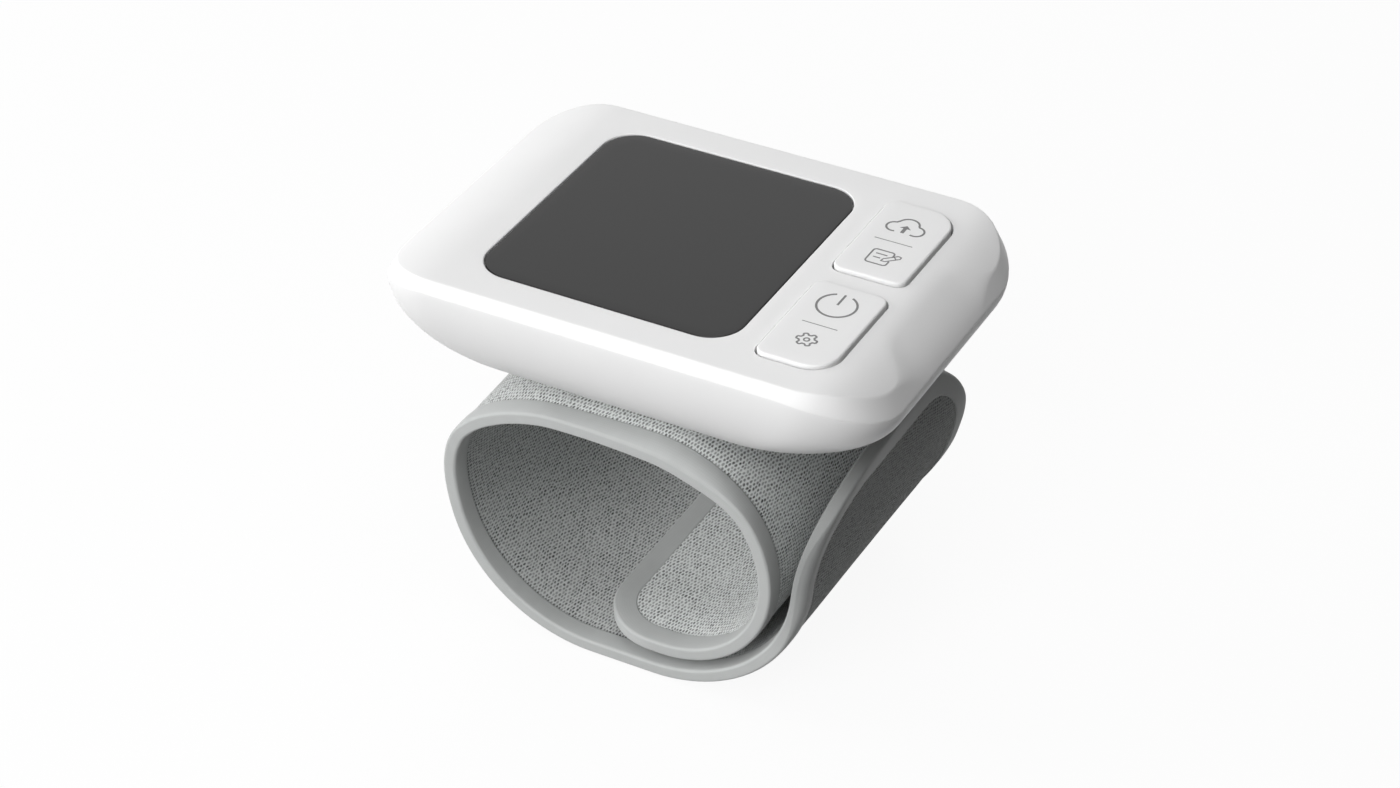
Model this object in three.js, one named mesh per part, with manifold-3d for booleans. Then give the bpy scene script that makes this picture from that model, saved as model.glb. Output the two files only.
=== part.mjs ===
// Wrist blood pressure monitor: a white two-part case with a dark display window and two rocker buttons,
// on a sewn wrist cuff whose inner tail lies in the loop and whose outer flap stands away from it.
// Millimetres, +Z up, +X along the case towards the buttons, +Y to the back.
// The origin is the middle of the flat stretch of cuff that rests on the table.
import * as THREE from 'three';
import { mergeVertices } from 'three/addons/utils/BufferGeometryUtils.js';
import Module from 'manifold-3d';

const wasm = await Module();
wasm.setup();

// Clearances
const fitGap = 0.3;
const sheetGap = 0.1;
const seatGap = 0.05;
const bladderSeat = 0.05;

// Case outline, seen from above and measured from the middle of the display
const caseLeft = 38;
const endMargin = 10.9;
const caseHalfWidth = 31;
const caseDepth = 19;
const leftCorner = 12;
const rightCorner = 13.4;
const wall = 1.6;
const arcSteps = 7;

// Bevel between the top face and the parting line, and how far both fall away at the ends of the case
const bevel = 1.55;
const topRollRun = 11.2;
const topDropLeft = 2.8;
const topDropRight = 4.6;
const seamDropLeft = 3.5;
const seamDropRight = 5.1;
const seamRollRun = 15.1;
const seamGap = 0.15;

// Flat underside of the case, inside which the hull has curved in
const floorLeft = 17.5;
const floorShort = 5.7;
const floorHalfWidth = 18.5;
const floorCorner = 10;
const hullSteps = 7;

// Top cover
const lidThickness = 2.0;
const ribThickness = 1.0;
const ribDepth = 1.3;
const ribGap = 0.5;

// Display window and the panel under it
const windowLength = 44;
const windowWidth = 46.8;
const windowCorner = 5.5;
const windowThickness = 1.0;
const windowSink = 0.1;
const windowLedge = 2.0;
const panelMargin = 1.0;
const panelThickness = 2.0;
const frameWall = 0.9;
const zebraHeight = 0.9;
const zebraWidth = 2.0;

// Main board
const boardThickness = 1.0;
const boardMargin = 1.6;
const boardSide = 2.0;
const boardCorner = 3;

// Rocker buttons, one behind the other at the right of the display
const buttonMargin = 4.4;
const buttonLength = 12.2;
const buttonOverhang = 1.0;
const buttonWidth = 21.6;
const buttonSpacing = 4.2;
const buttonProud = 0.6;
const buttonSkirt = 0.5;
const buttonCorner = 1.8;
const buttonOuterCorner = 4.8;
const pivotRadius = 0.75;
const pivotFloor = 0.35;
const pivotPlay = 0.1;
const lugWidth = 3.4;
const earThickness = 1.2;
const postRadius = 1.2;
const postOffset = 7;
const postLength = 0.7;
const switchTravelGap = 0.35;
const switchSide = 4.5;
const switchBodyHeight = 1.05;
const plungerRadius = 1.0;

// Two AAA cells side by side, lying along the case
const cellRadius = 5.25;
const cellLength = 43.3;
const cellNubRadius = 1.9;
const cellNubLength = 1.0;
const cellGap = 0.3;
const cellRest = 0.45;
const contactThickness = 0.4;
const springLength = 2.4;
const springTurns = 4;
const springWire = 0.3;
const springBaseRadius = 3.4;
const springTipRadius = 2.2;
const boxWall = 1.0;
const boxHeight = 9.0;
const cellStart = 20;

// Battery door at the left end of the hull
const doorHalfWidth = 12.4;
const doorTop = 7.2;
const doorEdge = 23.4;
const tongueLength = 5;
const tongueSide = 1.0;

// Pump, valve, air block and what hangs under the board
const pumpRadius = 4.4;
const pumpMotorLength = 17;
const pumpHeadLength = 9.5;
const pumpStart = -13;
const pumpOffset = 17.2;
const pumpPortRadius = 1.0;
const pumpPortLength = 2.0;
const valveRadius = 3.8;
const valveLength = 12;
const blockLength = 15;
const blockWidth = 8.6;
const blockHeight = 4.6;
const blockStart = -4;
const blockOffset = 16.6;
const airLevel = 12.2;
const hoseRadius = 1.4;
const hoseGap = 1.4;
const hoseLead = 4;
const hoseRun = 7;
const hoseBend = 5;
const hoseEase = 2;
const hoseSpread = 1.5;
const sensorSide = 6.5;
const sensorHeight = 2.6;
const sensorPortRadius = 1.0;
const cradleWidth = 2.0;
const chipSide = 8.4;
const chipMargin = 0.55;
const chipSpacing = 13;
const chipHeight = 1.4;
const moduleWidth = 11;
const moduleHeight = 1.9;
const buzzerHeight = 2.4;

// Screws
const coverBossGap = 0.7;
const coverScrewY = [17, 7];
const coverBoss = 2.7;
const coverBossSplit = 9;
const coverScrewRadius = 1.0;
const coverHeadRadius = 1.9;
const coverHeadHeight = 1.3;
const coverHeadDepth = 12;
const boardPostGap = 0.8;
const boardScrewY = 20;
const boardPost = 1.5;
const boardScrewRadius = 0.7;
const boardHeadRadius = 1.4;
const boardHeadHeight = 0.8;

// Plate that ties the cuff to the underside of the case
const plateLength = 15.6;
const plateWidth = 32;
const plateThickness = 1.0;
const plateCorner = 2.5;
const plateScrewEndInset = 2.4;
const plateScrewSideInset = 2.1;
const plateScrewRadius = 0.8;
const plateHeadRadius = 1.7;
const plateHeadHeight = 0.7;
const nippleRadius = 1.4;
const nippleBore = 0.8;
const nippleFlange = 3.2;
const nippleShift = 2.2;

// Wrist cuff: one band that starts as the tail, runs up the right side, over the top, down the left,
// along the table and up again as the flap
const cuffWidth = 53.2;
const cuffHeight = 45.6;
const bandThickness = 2.4;
const restRun = 11;
const lowerLeftRadius = 26.2;
const shoulderRadius = 26.4;
const cornerRadius = 10;
const topRun = 16.6;
const rightRadius = 21.6;
const tailLength = 13.6;
const tailGap = 2.1;
const flapGap = 3.2;
const flapTurn = 84;
const flapLean = 12.4;
const flapLength = 18.5;
const flapCorner = 13;
const tailCorner = 11;
const caseOffset = -1.5;

// Layers of the band, counted inwards from its outer face
const outerThickness = 0.6;
const endOuterThickness = 1.35;
const stiffenerThickness = 0.4;
const bladderThickness = 0.3;
const liningThickness = 0.5;
const liningDepth = 1.5;
const stiffenerMargin = 1.5;
const bladderMargin = 3;

// Edge binding, folded round the band's edge
const bindingWidth = 3.4;
const bindingEdge = 1.2;
const bindingBevel = 0.6;
const hookThickness = 0.35;
const hookLength = 12;
const hookMargin = 5;
const hingeGap = 0.8;
const facetLength = 4.2;

const rad = THREE.MathUtils.degToRad;

// Boolean work on closed meshes
function toSolid(geometry) {
  const bare = geometry.clone();
  bare.deleteAttribute('normal');
  bare.deleteAttribute('uv');
  const merged = mergeVertices(bare, 1e-4);
  const vertProperties = Float32Array.from(merged.attributes.position.array);
  const triVerts = Uint32Array.from(merged.index.array);
  return new wasm.Manifold(new wasm.Mesh({ numProp: 3, vertProperties, triVerts }));
}

function toGeometry(solid) {
  const mesh = solid.getMesh();
  const geometry = new THREE.BufferGeometry();
  geometry.setAttribute('position', new THREE.BufferAttribute(Float32Array.from(mesh.vertProperties), 3));
  geometry.setIndex(Array.from(mesh.triVerts));
  geometry.computeVertexNormals();
  return geometry;
}

function cut(geometry, ...tools) {
  return toGeometry(tools.reduce((solid, tool) => solid.subtract(toSolid(tool)), toSolid(geometry)));
}

function join(geometry, ...others) {
  return toGeometry(others.reduce((solid, other) => solid.add(toSolid(other)), toSolid(geometry)));
}

function common(geometry, other) {
  return toGeometry(toSolid(geometry).intersect(toSolid(other)));
}

// Plain shapes
function box(x0, x1, y0, y1, z0, z1) {
  const geometry = new THREE.BoxGeometry(x1 - x0, y1 - y0, z1 - z0);
  return geometry.translate((x0 + x1) / 2, (y0 + y1) / 2, (z0 + z1) / 2);
}

function roundedRect(x0, x1, y0, y1, radii) {
  const [frontLeft, frontRight, backRight, backLeft] = Array.isArray(radii) ? radii : Array(4).fill(radii);
  const shape = new THREE.Shape();
  shape.absarc(x0 + frontLeft, y0 + frontLeft, frontLeft, Math.PI, 1.5 * Math.PI);
  shape.absarc(x1 - frontRight, y0 + frontRight, frontRight, 1.5 * Math.PI, 2 * Math.PI);
  shape.absarc(x1 - backRight, y1 - backRight, backRight, 0, 0.5 * Math.PI);
  shape.absarc(x0 + backLeft, y1 - backLeft, backLeft, 0.5 * Math.PI, Math.PI);
  return shape;
}

function prism(shape, z0, z1, curveSegments = 5) {
  const geometry = new THREE.ExtrudeGeometry(shape, { depth: z1 - z0, bevelEnabled: false, curveSegments });
  return geometry.translate(0, 0, z0);
}

function rodZ(x, y, z0, z1, radius, sides = 16) {
  const geometry = new THREE.CylinderGeometry(radius, radius, z1 - z0, sides);
  return geometry.rotateX(Math.PI / 2).translate(x, y, (z0 + z1) / 2);
}

function rodX(x0, x1, y, z, radius, sides = 16) {
  const geometry = new THREE.CylinderGeometry(radius, radius, x1 - x0, sides);
  return geometry.rotateZ(Math.PI / 2).translate((x0 + x1) / 2, y, z);
}

// Closed solid through rings of equally many points; the end caps use the given triangles of one ring
function loft(rings, capTriangles, closed = false) {
  const count = rings[0].length;
  const positions = rings.flat().flatMap((p) => [p.x, p.y, p.z]);
  const index = [];
  const last = closed ? rings.length : rings.length - 1;
  for (let r = 0; r < last; r += 1) {
    const next = (r + 1) % rings.length;
    for (let i = 0; i < count; i += 1) {
      const j = (i + 1) % count;
      index.push(r * count + i, r * count + j, next * count + j);
      index.push(r * count + i, next * count + j, next * count + i);
    }
  }
  if (!closed) {
    const top = (rings.length - 1) * count;
    for (const [a, b, c] of capTriangles) {
      index.push(c, b, a);
      index.push(top + a, top + b, top + c);
    }
  }
  const geometry = new THREE.BufferGeometry();
  geometry.setAttribute('position', new THREE.Float32BufferAttribute(positions, 3));
  geometry.setIndex(index);
  if (signedVolume(geometry) < 0) {
    for (let i = 0; i < index.length; i += 3) {
      [index[i + 1], index[i + 2]] = [index[i + 2], index[i + 1]];
    }
    geometry.setIndex(index);
  }
  geometry.computeVertexNormals();
  return geometry;
}

function signedVolume(geometry) {
  const a = new THREE.Vector3();
  const b = new THREE.Vector3();
  const c = new THREE.Vector3();
  const position = geometry.attributes.position;
  const index = geometry.index.array;
  let sum = 0;
  for (let i = 0; i < index.length; i += 3) {
    a.fromBufferAttribute(position, index[i]);
    b.fromBufferAttribute(position, index[i + 1]);
    c.fromBufferAttribute(position, index[i + 2]);
    sum += a.dot(b.cross(c));
  }
  return sum / 6;
}

// Case surfaces, in a frame whose origin is the middle of the display on the flat top
// The outline is a list of stations along X, each with the half width there
function outline(left, right, half, leftRadius, rightRadius) {
  const stations = [];
  for (let k = 0; k <= arcSteps; k += 1) {
    const a = rad((90 * k) / arcSteps);
    stations.push({
      x: -left + leftRadius * (1 - Math.cos(a)),
      half: half - leftRadius * (1 - Math.sin(a)),
    });
  }
  for (let k = arcSteps; k >= 0; k -= 1) {
    const a = rad((90 * k) / arcSteps);
    stations.push({
      x: right - rightRadius * (1 - Math.cos(a)),
      half: half - rightRadius * (1 - Math.sin(a)),
    });
  }
  return stations;
}

function caseOutline(inset) {
  const corners = [leftCorner - inset, rightCorner - inset];
  return outline(caseLeft - inset, caseRight - inset, caseHalfWidth - inset, ...corners);
}

function floorOutline(inset) {
  const corner = floorCorner - inset;
  return outline(floorLeft - inset, floorRight - inset, floorHalfWidth - inset, corner, corner);
}

function ring(stations, height) {
  const front = stations.map((s, i) => new THREE.Vector3(s.x, -s.half, height(s.x, i)));
  const back = stations.map((s, i) => new THREE.Vector3(s.x, s.half, height(s.x, i)));
  return [...front, ...back.reverse()];
}

const stationCount = 2 * (arcSteps + 1);
const ringCap = [];
for (let i = 0; i < stationCount - 1; i += 1) {
  const back = 2 * stationCount - 1 - i;
  ringCap.push([i, i + 1, back - 1], [i, back - 1, back]);
}

function fallAway(x, leftStart, leftEnd, leftDrop, rightStart, rightEnd, rightDrop) {
  const l = THREE.MathUtils.clamp((leftStart - x) / (leftStart - leftEnd), 0, 1);
  const r = THREE.MathUtils.clamp((x - rightStart) / (rightEnd - rightStart), 0, 1);
  return -leftDrop * l * l - rightDrop * r * r;
}

function topHeight(x) {
  const leftStart = leftCorner - caseLeft;
  return fallAway(x, leftStart, -caseLeft, topDropLeft, caseRight - topRollRun, caseRight, topDropRight);
}

function seamHeight(x) {
  const leftStart = leftCorner - caseLeft;
  const rightStart = caseRight - seamRollRun;
  return -bevel + fallAway(x, leftStart, -caseLeft, seamDropLeft, rightStart, caseRight, seamDropRight);
}

// Solid inside the hull from the seam, or a little above it, down to the floor
function hull(inset, floorInset, rimRise) {
  const rim = caseOutline(inset);
  const floor = floorOutline(inset);
  const floorHeight = -caseDepth + floorInset;
  const rings = [];
  if (rimRise > 0) {
    rings.push(ring(rim, (x) => seamHeight(x) + rimRise));
  }
  for (let k = 0; k <= hullSteps; k += 1) {
    const a = rad((90 * k) / hullSteps);
    const stations = rim.map((s, i) => ({
      x: s.x + (floor[i].x - s.x) * (1 - Math.cos(a)),
      half: s.half + (floor[i].half - s.half) * (1 - Math.cos(a)),
    }));
    rings.push(ring(stations, (x, i) => {
      const seam = seamHeight(rim[i].x) - seamGap;
      return seam + (floorHeight - seam) * Math.sin(a);
    }));
  }
  return loft(rings, ringCap);
}

// Levels inside the case, measured down from the flat top
const panelTop = -lidThickness - sheetGap;
const panelBottom = panelTop - panelThickness;
const zebraTop = panelBottom - sheetGap;
const boardTop = zebraTop - zebraHeight - sheetGap;
const boardBottom = boardTop - boardThickness;
const floorTop = -caseDepth + wall;
const cellLevel = floorTop + cellRest + cellRadius;
const cellOffset = cellRadius + cellGap / 2;
const boxHalf = 2 * cellRadius + 1.5 * cellGap;
const contactX = -cellStart + cellLength + cellNubLength + springLength;
const contactEnd = contactX + contactThickness;
const boxEnd = contactEnd + sheetGap + boxWall;
const lugBottom = boardTop + fitGap;
const pivotLevel = lugBottom + pivotFloor + pivotPlay + pivotRadius;
const switchTop = -lidThickness - buttonSkirt - postLength - switchTravelGap;

// Lengths along the case: the board reaches under the buttons and past the parts beside the cells,
// and the case past the board
const frameEdge = windowLength / 2 - panelMargin + sheetGap + frameWall;
const boardLeft = frameEdge + boardMargin;
const buttonLeft = windowLength / 2 + buttonMargin;
const chipsEnd = contactEnd + boxWall + chipSide + 2 * chipMargin;
const boardRight = Math.max(chipsEnd, buttonLeft + buttonLength - buttonOverhang);
const boardHalfWidth = windowWidth / 2 + boardSide;
const caseRight = boardRight + endMargin;
const floorRight = contactX - floorShort;
const hoseTurn = boxEnd + hoseGap + hoseRadius;
const nippleY = nippleShift - blockOffset;

// Places of the screws
const coverScrewX = [-boardLeft - coverBossGap - coverBoss, boardRight + coverBossGap + coverBoss];
const boardScrewX = frameEdge + boardPostGap + boardPost;
const plateScrewX = plateLength / 2 - plateScrewEndInset;
const plateScrewY = plateWidth / 2 - plateScrewSideInset;
const coverScrewPlaces = coverScrewX.flatMap((x, i) => [[x, -coverScrewY[i]], [x, coverScrewY[i]]]);
const boardScrewPlaces = [[boardScrewX, -boardScrewY], [boardScrewX, boardScrewY]];
const plateScrewPlaces = [-1, 1].flatMap((i) => [-1, 1].map((j) => [i * plateScrewX, j * plateScrewY]));

// Where the buttons sit: the front one and the back one mirror each other
function buttonShape(side, grow) {
  const inner = buttonSpacing / 2;
  const outer = inner + buttonWidth;
  const x0 = buttonLeft - grow;
  const x1 = buttonLeft + buttonLength + grow;
  const small = buttonCorner + grow;
  const large = buttonOuterCorner + grow;
  if (side < 0) {
    return roundedRect(x0, x1, -outer - grow, -inner + grow, [small, large, small, small]);
  }
  return roundedRect(x0, x1, inner - grow, outer + grow, [small, small, large, small]);
}

function buttonMiddle(side) {
  return side * (buttonSpacing + buttonWidth) / 2;
}

function ears(side) {
  const y = buttonMiddle(side);
  const left = buttonLeft - fitGap;
  const right = buttonLeft + buttonLength + fitGap;
  const pair = [[left - earThickness, left], [right, right + earThickness]];
  return pair.map(([x0, x1]) => box(x0, x1, y - lugWidth / 2, y + lugWidth / 2, lugBottom, -bevel));
}

function pivotBore(side) {
  const x0 = buttonLeft - 2 * fitGap - earThickness;
  const x1 = buttonLeft + buttonLength + 2 * fitGap + earThickness;
  return rodX(x0, x1, buttonMiddle(side), pivotLevel, pivotRadius + pivotPlay, 12);
}

// Slab that follows the seam, between two heights above it
function seamSlab(stations, low, high) {
  const rings = [low, high].map((rise) => ring(stations, (x) => seamHeight(x) + rise));
  return loft(rings, ringCap);
}

function topCover() {
  const rim = caseOutline(0);
  const face = caseOutline(bevel);
  const plate = loft([ring(rim, seamHeight), ring(face, topHeight)], ringCap);
  const inset = wall + ribGap;
  const inner = caseOutline(inset);
  const ribCore = caseOutline(inset + ribThickness);
  const rib = cut(seamSlab(inner, -ribDepth, bevel / 2), seamSlab(ribCore, -2 * ribDepth, bevel));
  const under = seamSlab(inner, bevel - lidThickness, bevel / 2);
  const bosses = coverScrewPlaces.map(([x, y]) => rodZ(
    x, y, -coverBossSplit, seamHeight(x) + bevel / 2, coverBoss,
  ));
  const posts = boardScrewPlaces.map(([x, y]) => rodZ(x, y, boardTop + seatGap, -bevel, boardPost, 12));
  const coverHoles = coverScrewPlaces.map(([x, y]) => rodZ(
    x, y, -coverBossSplit - 1, seamHeight(x) - bevel, coverScrewRadius + pivotPlay, 12,
  ));
  const boardHoles = boardScrewPlaces.map(([x, y]) => rodZ(
    x, y, boardTop - 1, -lidThickness, boardScrewRadius + pivotPlay, 10,
  ));
  const windowPocket = prism(windowShape(fitGap), -windowThickness - windowSink - seatGap, 1, 6);
  const windowHole = prism(windowShape(-windowLedge), -2 * lidThickness, 1, 6);
  const buttonHoles = [-1, 1].map((side) => prism(buttonShape(side, fitGap), -2 * lidThickness, 2));
  const pivotEars = [...ears(-1), ...ears(1)];
  const solid = join(plate, rib, under, ...bosses, ...posts);
  const opened = cut(solid, windowPocket, windowHole, ...buttonHoles, ...coverHoles, ...boardHoles);
  return cut(join(opened, ...pivotEars), pivotBore(-1), pivotBore(1));
}

// Left end of the hull, taken out for the battery door
function doorBlock(gap) {
  const half = doorHalfWidth - gap;
  return box(-2 * caseLeft, -doorEdge - gap, -half, half, -2 * caseDepth, -doorTop - gap);
}

function batteryBox() {
  const outer = boxHalf + boxWall;
  const end = boxEnd - boxWall;
  const top = floorTop + boxHeight;
  return cut(
    box(-doorEdge, end + boxWall, -outer, outer, floorTop - wall / 2, top),
    box(-2 * doorEdge, end, -boxHalf, boxHalf, floorTop - wall, top + 1),
  );
}

function cradle(x, y0, y1, level, radius, centre) {
  const block = box(x, x + cradleWidth, y0, y1, -caseDepth, level);
  return cut(block, rodX(x - 1, x + cradleWidth + 1, centre, level, radius + fitGap));
}

function bottomCover() {
  const shell = cut(hull(0, 0, 0), hull(wall, wall, 2 * bevel));
  const inside = hull(wall / 2, wall / 2, 0);
  const pumpX = [pumpStart + 2, pumpStart + pumpMotorLength - 2 * cradleWidth];
  const pumpCradles = pumpX.map((x) => cradle(
    x, pumpOffset - pumpRadius, pumpOffset + pumpRadius, -airLevel, pumpRadius, pumpOffset,
  ));
  const valveX = blockStart - fitGap - valveLength / 2;
  const valveCradle = cradle(
    valveX, -blockOffset - valveRadius, -blockOffset + valveRadius, -airLevel, valveRadius, -blockOffset,
  );
  const blockX = blockStart + blockLength - 2 * cradleWidth;
  const blockBottom = -airLevel - blockHeight / 2;
  const blockShelf = box(
    blockX, blockX + cradleWidth,
    -blockOffset - blockWidth / 2, -blockOffset,
    -caseDepth, blockBottom - seatGap,
  );
  const bosses = coverScrewPlaces.map(([x, y]) => rodZ(
    x, y, -caseDepth, -coverBossSplit - fitGap, coverBoss,
  ));
  const fittings = common(
    join(batteryBox(), ...pumpCradles, valveCradle, blockShelf, ...bosses),
    inside,
  );
  const screwHoles = coverScrewPlaces.map(([x, y]) => rodZ(
    x, y, -2 * caseDepth, 0, coverScrewRadius + fitGap, 12,
  ));
  const headHoles = coverScrewPlaces.map(([x, y]) => rodZ(
    x, y, -2 * caseDepth, -coverHeadDepth, coverHeadRadius + fitGap,
  ));
  const plateHoles = plateScrewPlaces.map(([x, y]) => rodZ(
    x - caseOffset, y, -2 * caseDepth, floorTop + 1, plateScrewRadius + pivotPlay, 12,
  ));
  const headRoom = plateScrewPlaces.map(([x, y]) => rodZ(
    x - caseOffset, y, floorTop, floorTop + plateHeadHeight + fitGap, plateHeadRadius + sheetGap, 12,
  ));
  const nippleHole = rodZ(-caseOffset, nippleY, -2 * caseDepth, floorTop + 1, nippleRadius + fitGap, 12);
  const clearance = [...screwHoles, ...headHoles, ...plateHoles, ...headRoom, nippleHole];
  return cut(join(shell, fittings), doorBlock(0), ...clearance);
}

function tongue(side) {
  const y0 = boxHalf - fitGap - tongueSide;
  const y1 = boxHalf - fitGap;
  const top = -doorTop - fitGap;
  return box(
    -caseLeft, -doorEdge + tongueLength,
    Math.min(side * y0, side * y1), Math.max(side * y0, side * y1),
    top - tongueSide, top,
  );
}

function batteryDoor() {
  const skin = common(cut(hull(0, 0, 0), hull(wall, wall, 2 * bevel)), doorBlock(fitGap));
  const tongues = common(join(tongue(-1), tongue(1)), hull(wall / 2, wall / 2, 0));
  return join(skin, tongues);
}

function doorContact() {
  const x = -cellStart - cellNubLength - sheetGap;
  const half = boxHalf - 2 * fitGap - tongueSide;
  const rise = cellRadius / 2;
  const plate = box(x - contactThickness, x, -half, half, cellLevel - rise, cellLevel + rise);
  const stub = rodX(-caseLeft, x - contactThickness / 2, 0, cellLevel, cellRadius / 3, 12);
  return join(plate, common(stub, hull(wall + seatGap, wall, 0)));
}

function windowShape(grow) {
  const x = windowLength / 2 + grow;
  const y = windowWidth / 2 + grow;
  return roundedRect(-x, x, -y, y, windowCorner + grow);
}

function displayWindow() {
  return prism(windowShape(0), -windowThickness - windowSink, -windowSink, 6);
}

function lcdFrame() {
  const x = windowLength / 2 - panelMargin + sheetGap;
  const y = windowWidth / 2 - panelMargin + sheetGap;
  return cut(
    box(-x - frameWall, x + frameWall, -y - frameWall, y + frameWall, boardTop + seatGap, panelTop),
    box(-x, x, -y, y, boardTop - 1, panelTop + 1),
  );
}

function lcdPanel() {
  const x = windowLength / 2 - panelMargin;
  const y = windowWidth / 2 - panelMargin;
  return box(-x, x, -y, y, panelBottom, panelTop);
}

function zebraStrip(side) {
  const x = windowLength / 2 - 2 * panelMargin;
  const outer = windowWidth / 2 - panelMargin - sheetGap;
  const y = [side * outer, side * (outer - zebraWidth)].sort((a, b) => a - b);
  return box(-x, x, ...y, boardTop + seatGap, zebraTop);
}

function mainBoard() {
  const shape = roundedRect(-boardLeft, boardRight, -boardHalfWidth, boardHalfWidth, boardCorner);
  const holes = boardScrewPlaces.map(([x, y]) => rodZ(
    x, y, boardBottom - 1, boardTop + 1, boardScrewRadius + pivotPlay, 10,
  ));
  return cut(prism(shape, boardBottom, boardTop), ...holes);
}

function button(side) {
  const y = buttonMiddle(side);
  const underside = -lidThickness - buttonSkirt;
  const cap = new THREE.ExtrudeGeometry(buttonShape(side, -buttonCorner / 3), {
    depth: buttonProud - underside - buttonCorner / 3,
    bevelSize: buttonCorner / 3,
    bevelThickness: buttonCorner / 3,
    bevelSegments: 2,
    curveSegments: 5,
  }).translate(0, 0, underside);
  const trimmed = cut(cap, box(0, 2 * caseRight, -caseHalfWidth, caseHalfWidth, underside - 5, underside));
  const x0 = buttonLeft + fitGap;
  const x1 = buttonLeft + buttonLength - fitGap;
  const lug = box(x0, x1, y - lugWidth / 2, y + lugWidth / 2, lugBottom, underside + buttonSkirt);
  const posts = [-1, 1].map((end) => rodZ(
    buttonLeft + buttonLength / 2, y + end * postOffset,
    underside - postLength, underside + buttonSkirt, postRadius, 12,
  ));
  const bore = rodX(x0 - 1, x1 + 1, y, pivotLevel, pivotRadius + pivotPlay, 12);
  return cut(join(trimmed, lug, ...posts), bore);
}

function pivotPin(side) {
  const x0 = buttonLeft - fitGap - earThickness;
  const x1 = buttonLeft + buttonLength + fitGap + earThickness;
  return rodX(x0, x1, buttonMiddle(side), pivotLevel, pivotRadius, 12);
}

function tactSwitch(side, end) {
  const x = buttonLeft + buttonLength / 2;
  const y = buttonMiddle(side) + end * postOffset;
  const h = switchSide / 2;
  const base = boardTop + seatGap;
  const body = box(x - h, x + h, y - h, y + h, base, base + switchBodyHeight);
  return join(body, rodZ(x, y, base + switchBodyHeight / 2, switchTop, plungerRadius, 12));
}

// A cell's profile turned about its axis, with the nub at its positive end
function battery(side) {
  const profile = [
    [0, 0], [cellRadius, 0], [cellRadius, cellLength], [cellNubRadius, cellLength],
    [cellNubRadius, cellLength + cellNubLength], [0, cellLength + cellNubLength],
  ].map(([r, h]) => new THREE.Vector2(r, h));
  const geometry = new THREE.LatheGeometry(profile, 20);
  if (side < 0) {
    geometry.rotateZ(-Math.PI / 2).translate(-cellStart, 0, 0);
  } else {
    geometry.rotateZ(Math.PI / 2).translate(-cellStart + cellLength, 0, 0);
  }
  return geometry.translate(0, side * cellOffset, cellLevel);
}

class ConeCoil extends THREE.Curve {
  getPoint(t) {
    const angle = 2 * Math.PI * springTurns * t;
    const radius = THREE.MathUtils.lerp(springTipRadius, springBaseRadius, t);
    const run = springLength + cellNubLength - 2 * springWire - 2 * sheetGap;
    const x = contactX - springLength - cellNubLength + springWire + sheetGap + run * t;
    return new THREE.Vector3(x, cellOffset + radius * Math.cos(angle), cellLevel + radius * Math.sin(angle));
  }
}

function contactSpring() {
  const wire = new THREE.Shape();
  wire.absarc(0, 0, springWire, 0, 2 * Math.PI);
  return new THREE.ExtrudeGeometry(wire, {
    steps: 8 * springTurns,
    curveSegments: 3,
    bevelEnabled: false,
    extrudePath: new ConeCoil(),
  });
}

function contactPlate(side) {
  const half = cellRadius - cellGap;
  const x0 = contactX;
  const y = side * cellOffset;
  const plate = box(x0, x0 + contactThickness, y - half, y + half, cellLevel - half, cellLevel + half);
  if (side > 0) {
    return plate;
  }
  const tip = contactX - springLength + sheetGap;
  return join(plate, rodX(tip, x0 + contactThickness / 2, y, cellLevel, cellNubRadius, 12));
}

function pumpMotor() {
  return rodX(pumpStart, pumpStart + pumpMotorLength, pumpOffset, -airLevel, pumpRadius, 20);
}

function pumpHead() {
  const x0 = pumpStart + pumpMotorLength + seatGap;
  const x1 = x0 + pumpHeadLength;
  const head = rodX(x0, x1, pumpOffset, -airLevel, pumpRadius - fitGap);
  return join(head, rodX(x1 - 1, x1 + pumpPortLength, pumpOffset, -airLevel, pumpPortRadius, 10));
}

function airBlock() {
  const front = -blockOffset - blockWidth / 2;
  const bottom = -airLevel - blockHeight / 2;
  const block = box(
    blockStart, blockStart + blockLength, front, front + blockWidth, bottom, bottom + blockHeight,
  );
  return cut(block, rodZ(-caseOffset, nippleY, bottom - 1, -airLevel, nippleRadius + fitGap, 12));
}

function releaseValve() {
  const x1 = blockStart - fitGap;
  const body = rodX(x1 - valveLength, x1 - 2, -blockOffset, -airLevel, valveRadius);
  return join(body, rodX(x1 - 3, x1, -blockOffset, -airLevel, pumpPortRadius, 10));
}

function airHose() {
  const start = pumpStart + pumpMotorLength + seatGap + pumpHeadLength + pumpPortLength + fitGap;
  const end = blockStart + blockLength + fitGap;
  const bend = pumpOffset - hoseBend;
  const route = new THREE.CatmullRomCurve3([
    [start, pumpOffset], [start + hoseLead, pumpOffset],
    [hoseTurn - hoseEase, pumpOffset - hoseSpread], [hoseTurn, bend],
    [hoseTurn, -bend], [hoseTurn - hoseEase, -blockOffset + hoseSpread],
    [hoseTurn - hoseRun, -blockOffset], [end, -blockOffset],
  ].map(([x, y]) => new THREE.Vector3(x, y, -airLevel)), false, 'centripetal');
  const section = new THREE.Shape();
  section.absarc(0, 0, hoseRadius, 0, 2 * Math.PI);
  return new THREE.ExtrudeGeometry(section, {
    steps: 18,
    curveSegments: 6,
    bevelEnabled: false,
    extrudePath: route,
  });
}

function pressureSensor() {
  const x = blockStart + blockLength - sensorSide;
  const half = sensorSide / 2;
  const top = boardBottom - seatGap;
  const body = box(x - half, x + half, -blockOffset - half, -blockOffset + half, top - sensorHeight, top);
  const portEnd = -airLevel + blockHeight / 2 + seatGap;
  return join(body, rodZ(x, -blockOffset, portEnd, top - sensorHeight / 2, sensorPortRadius, 10));
}

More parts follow.
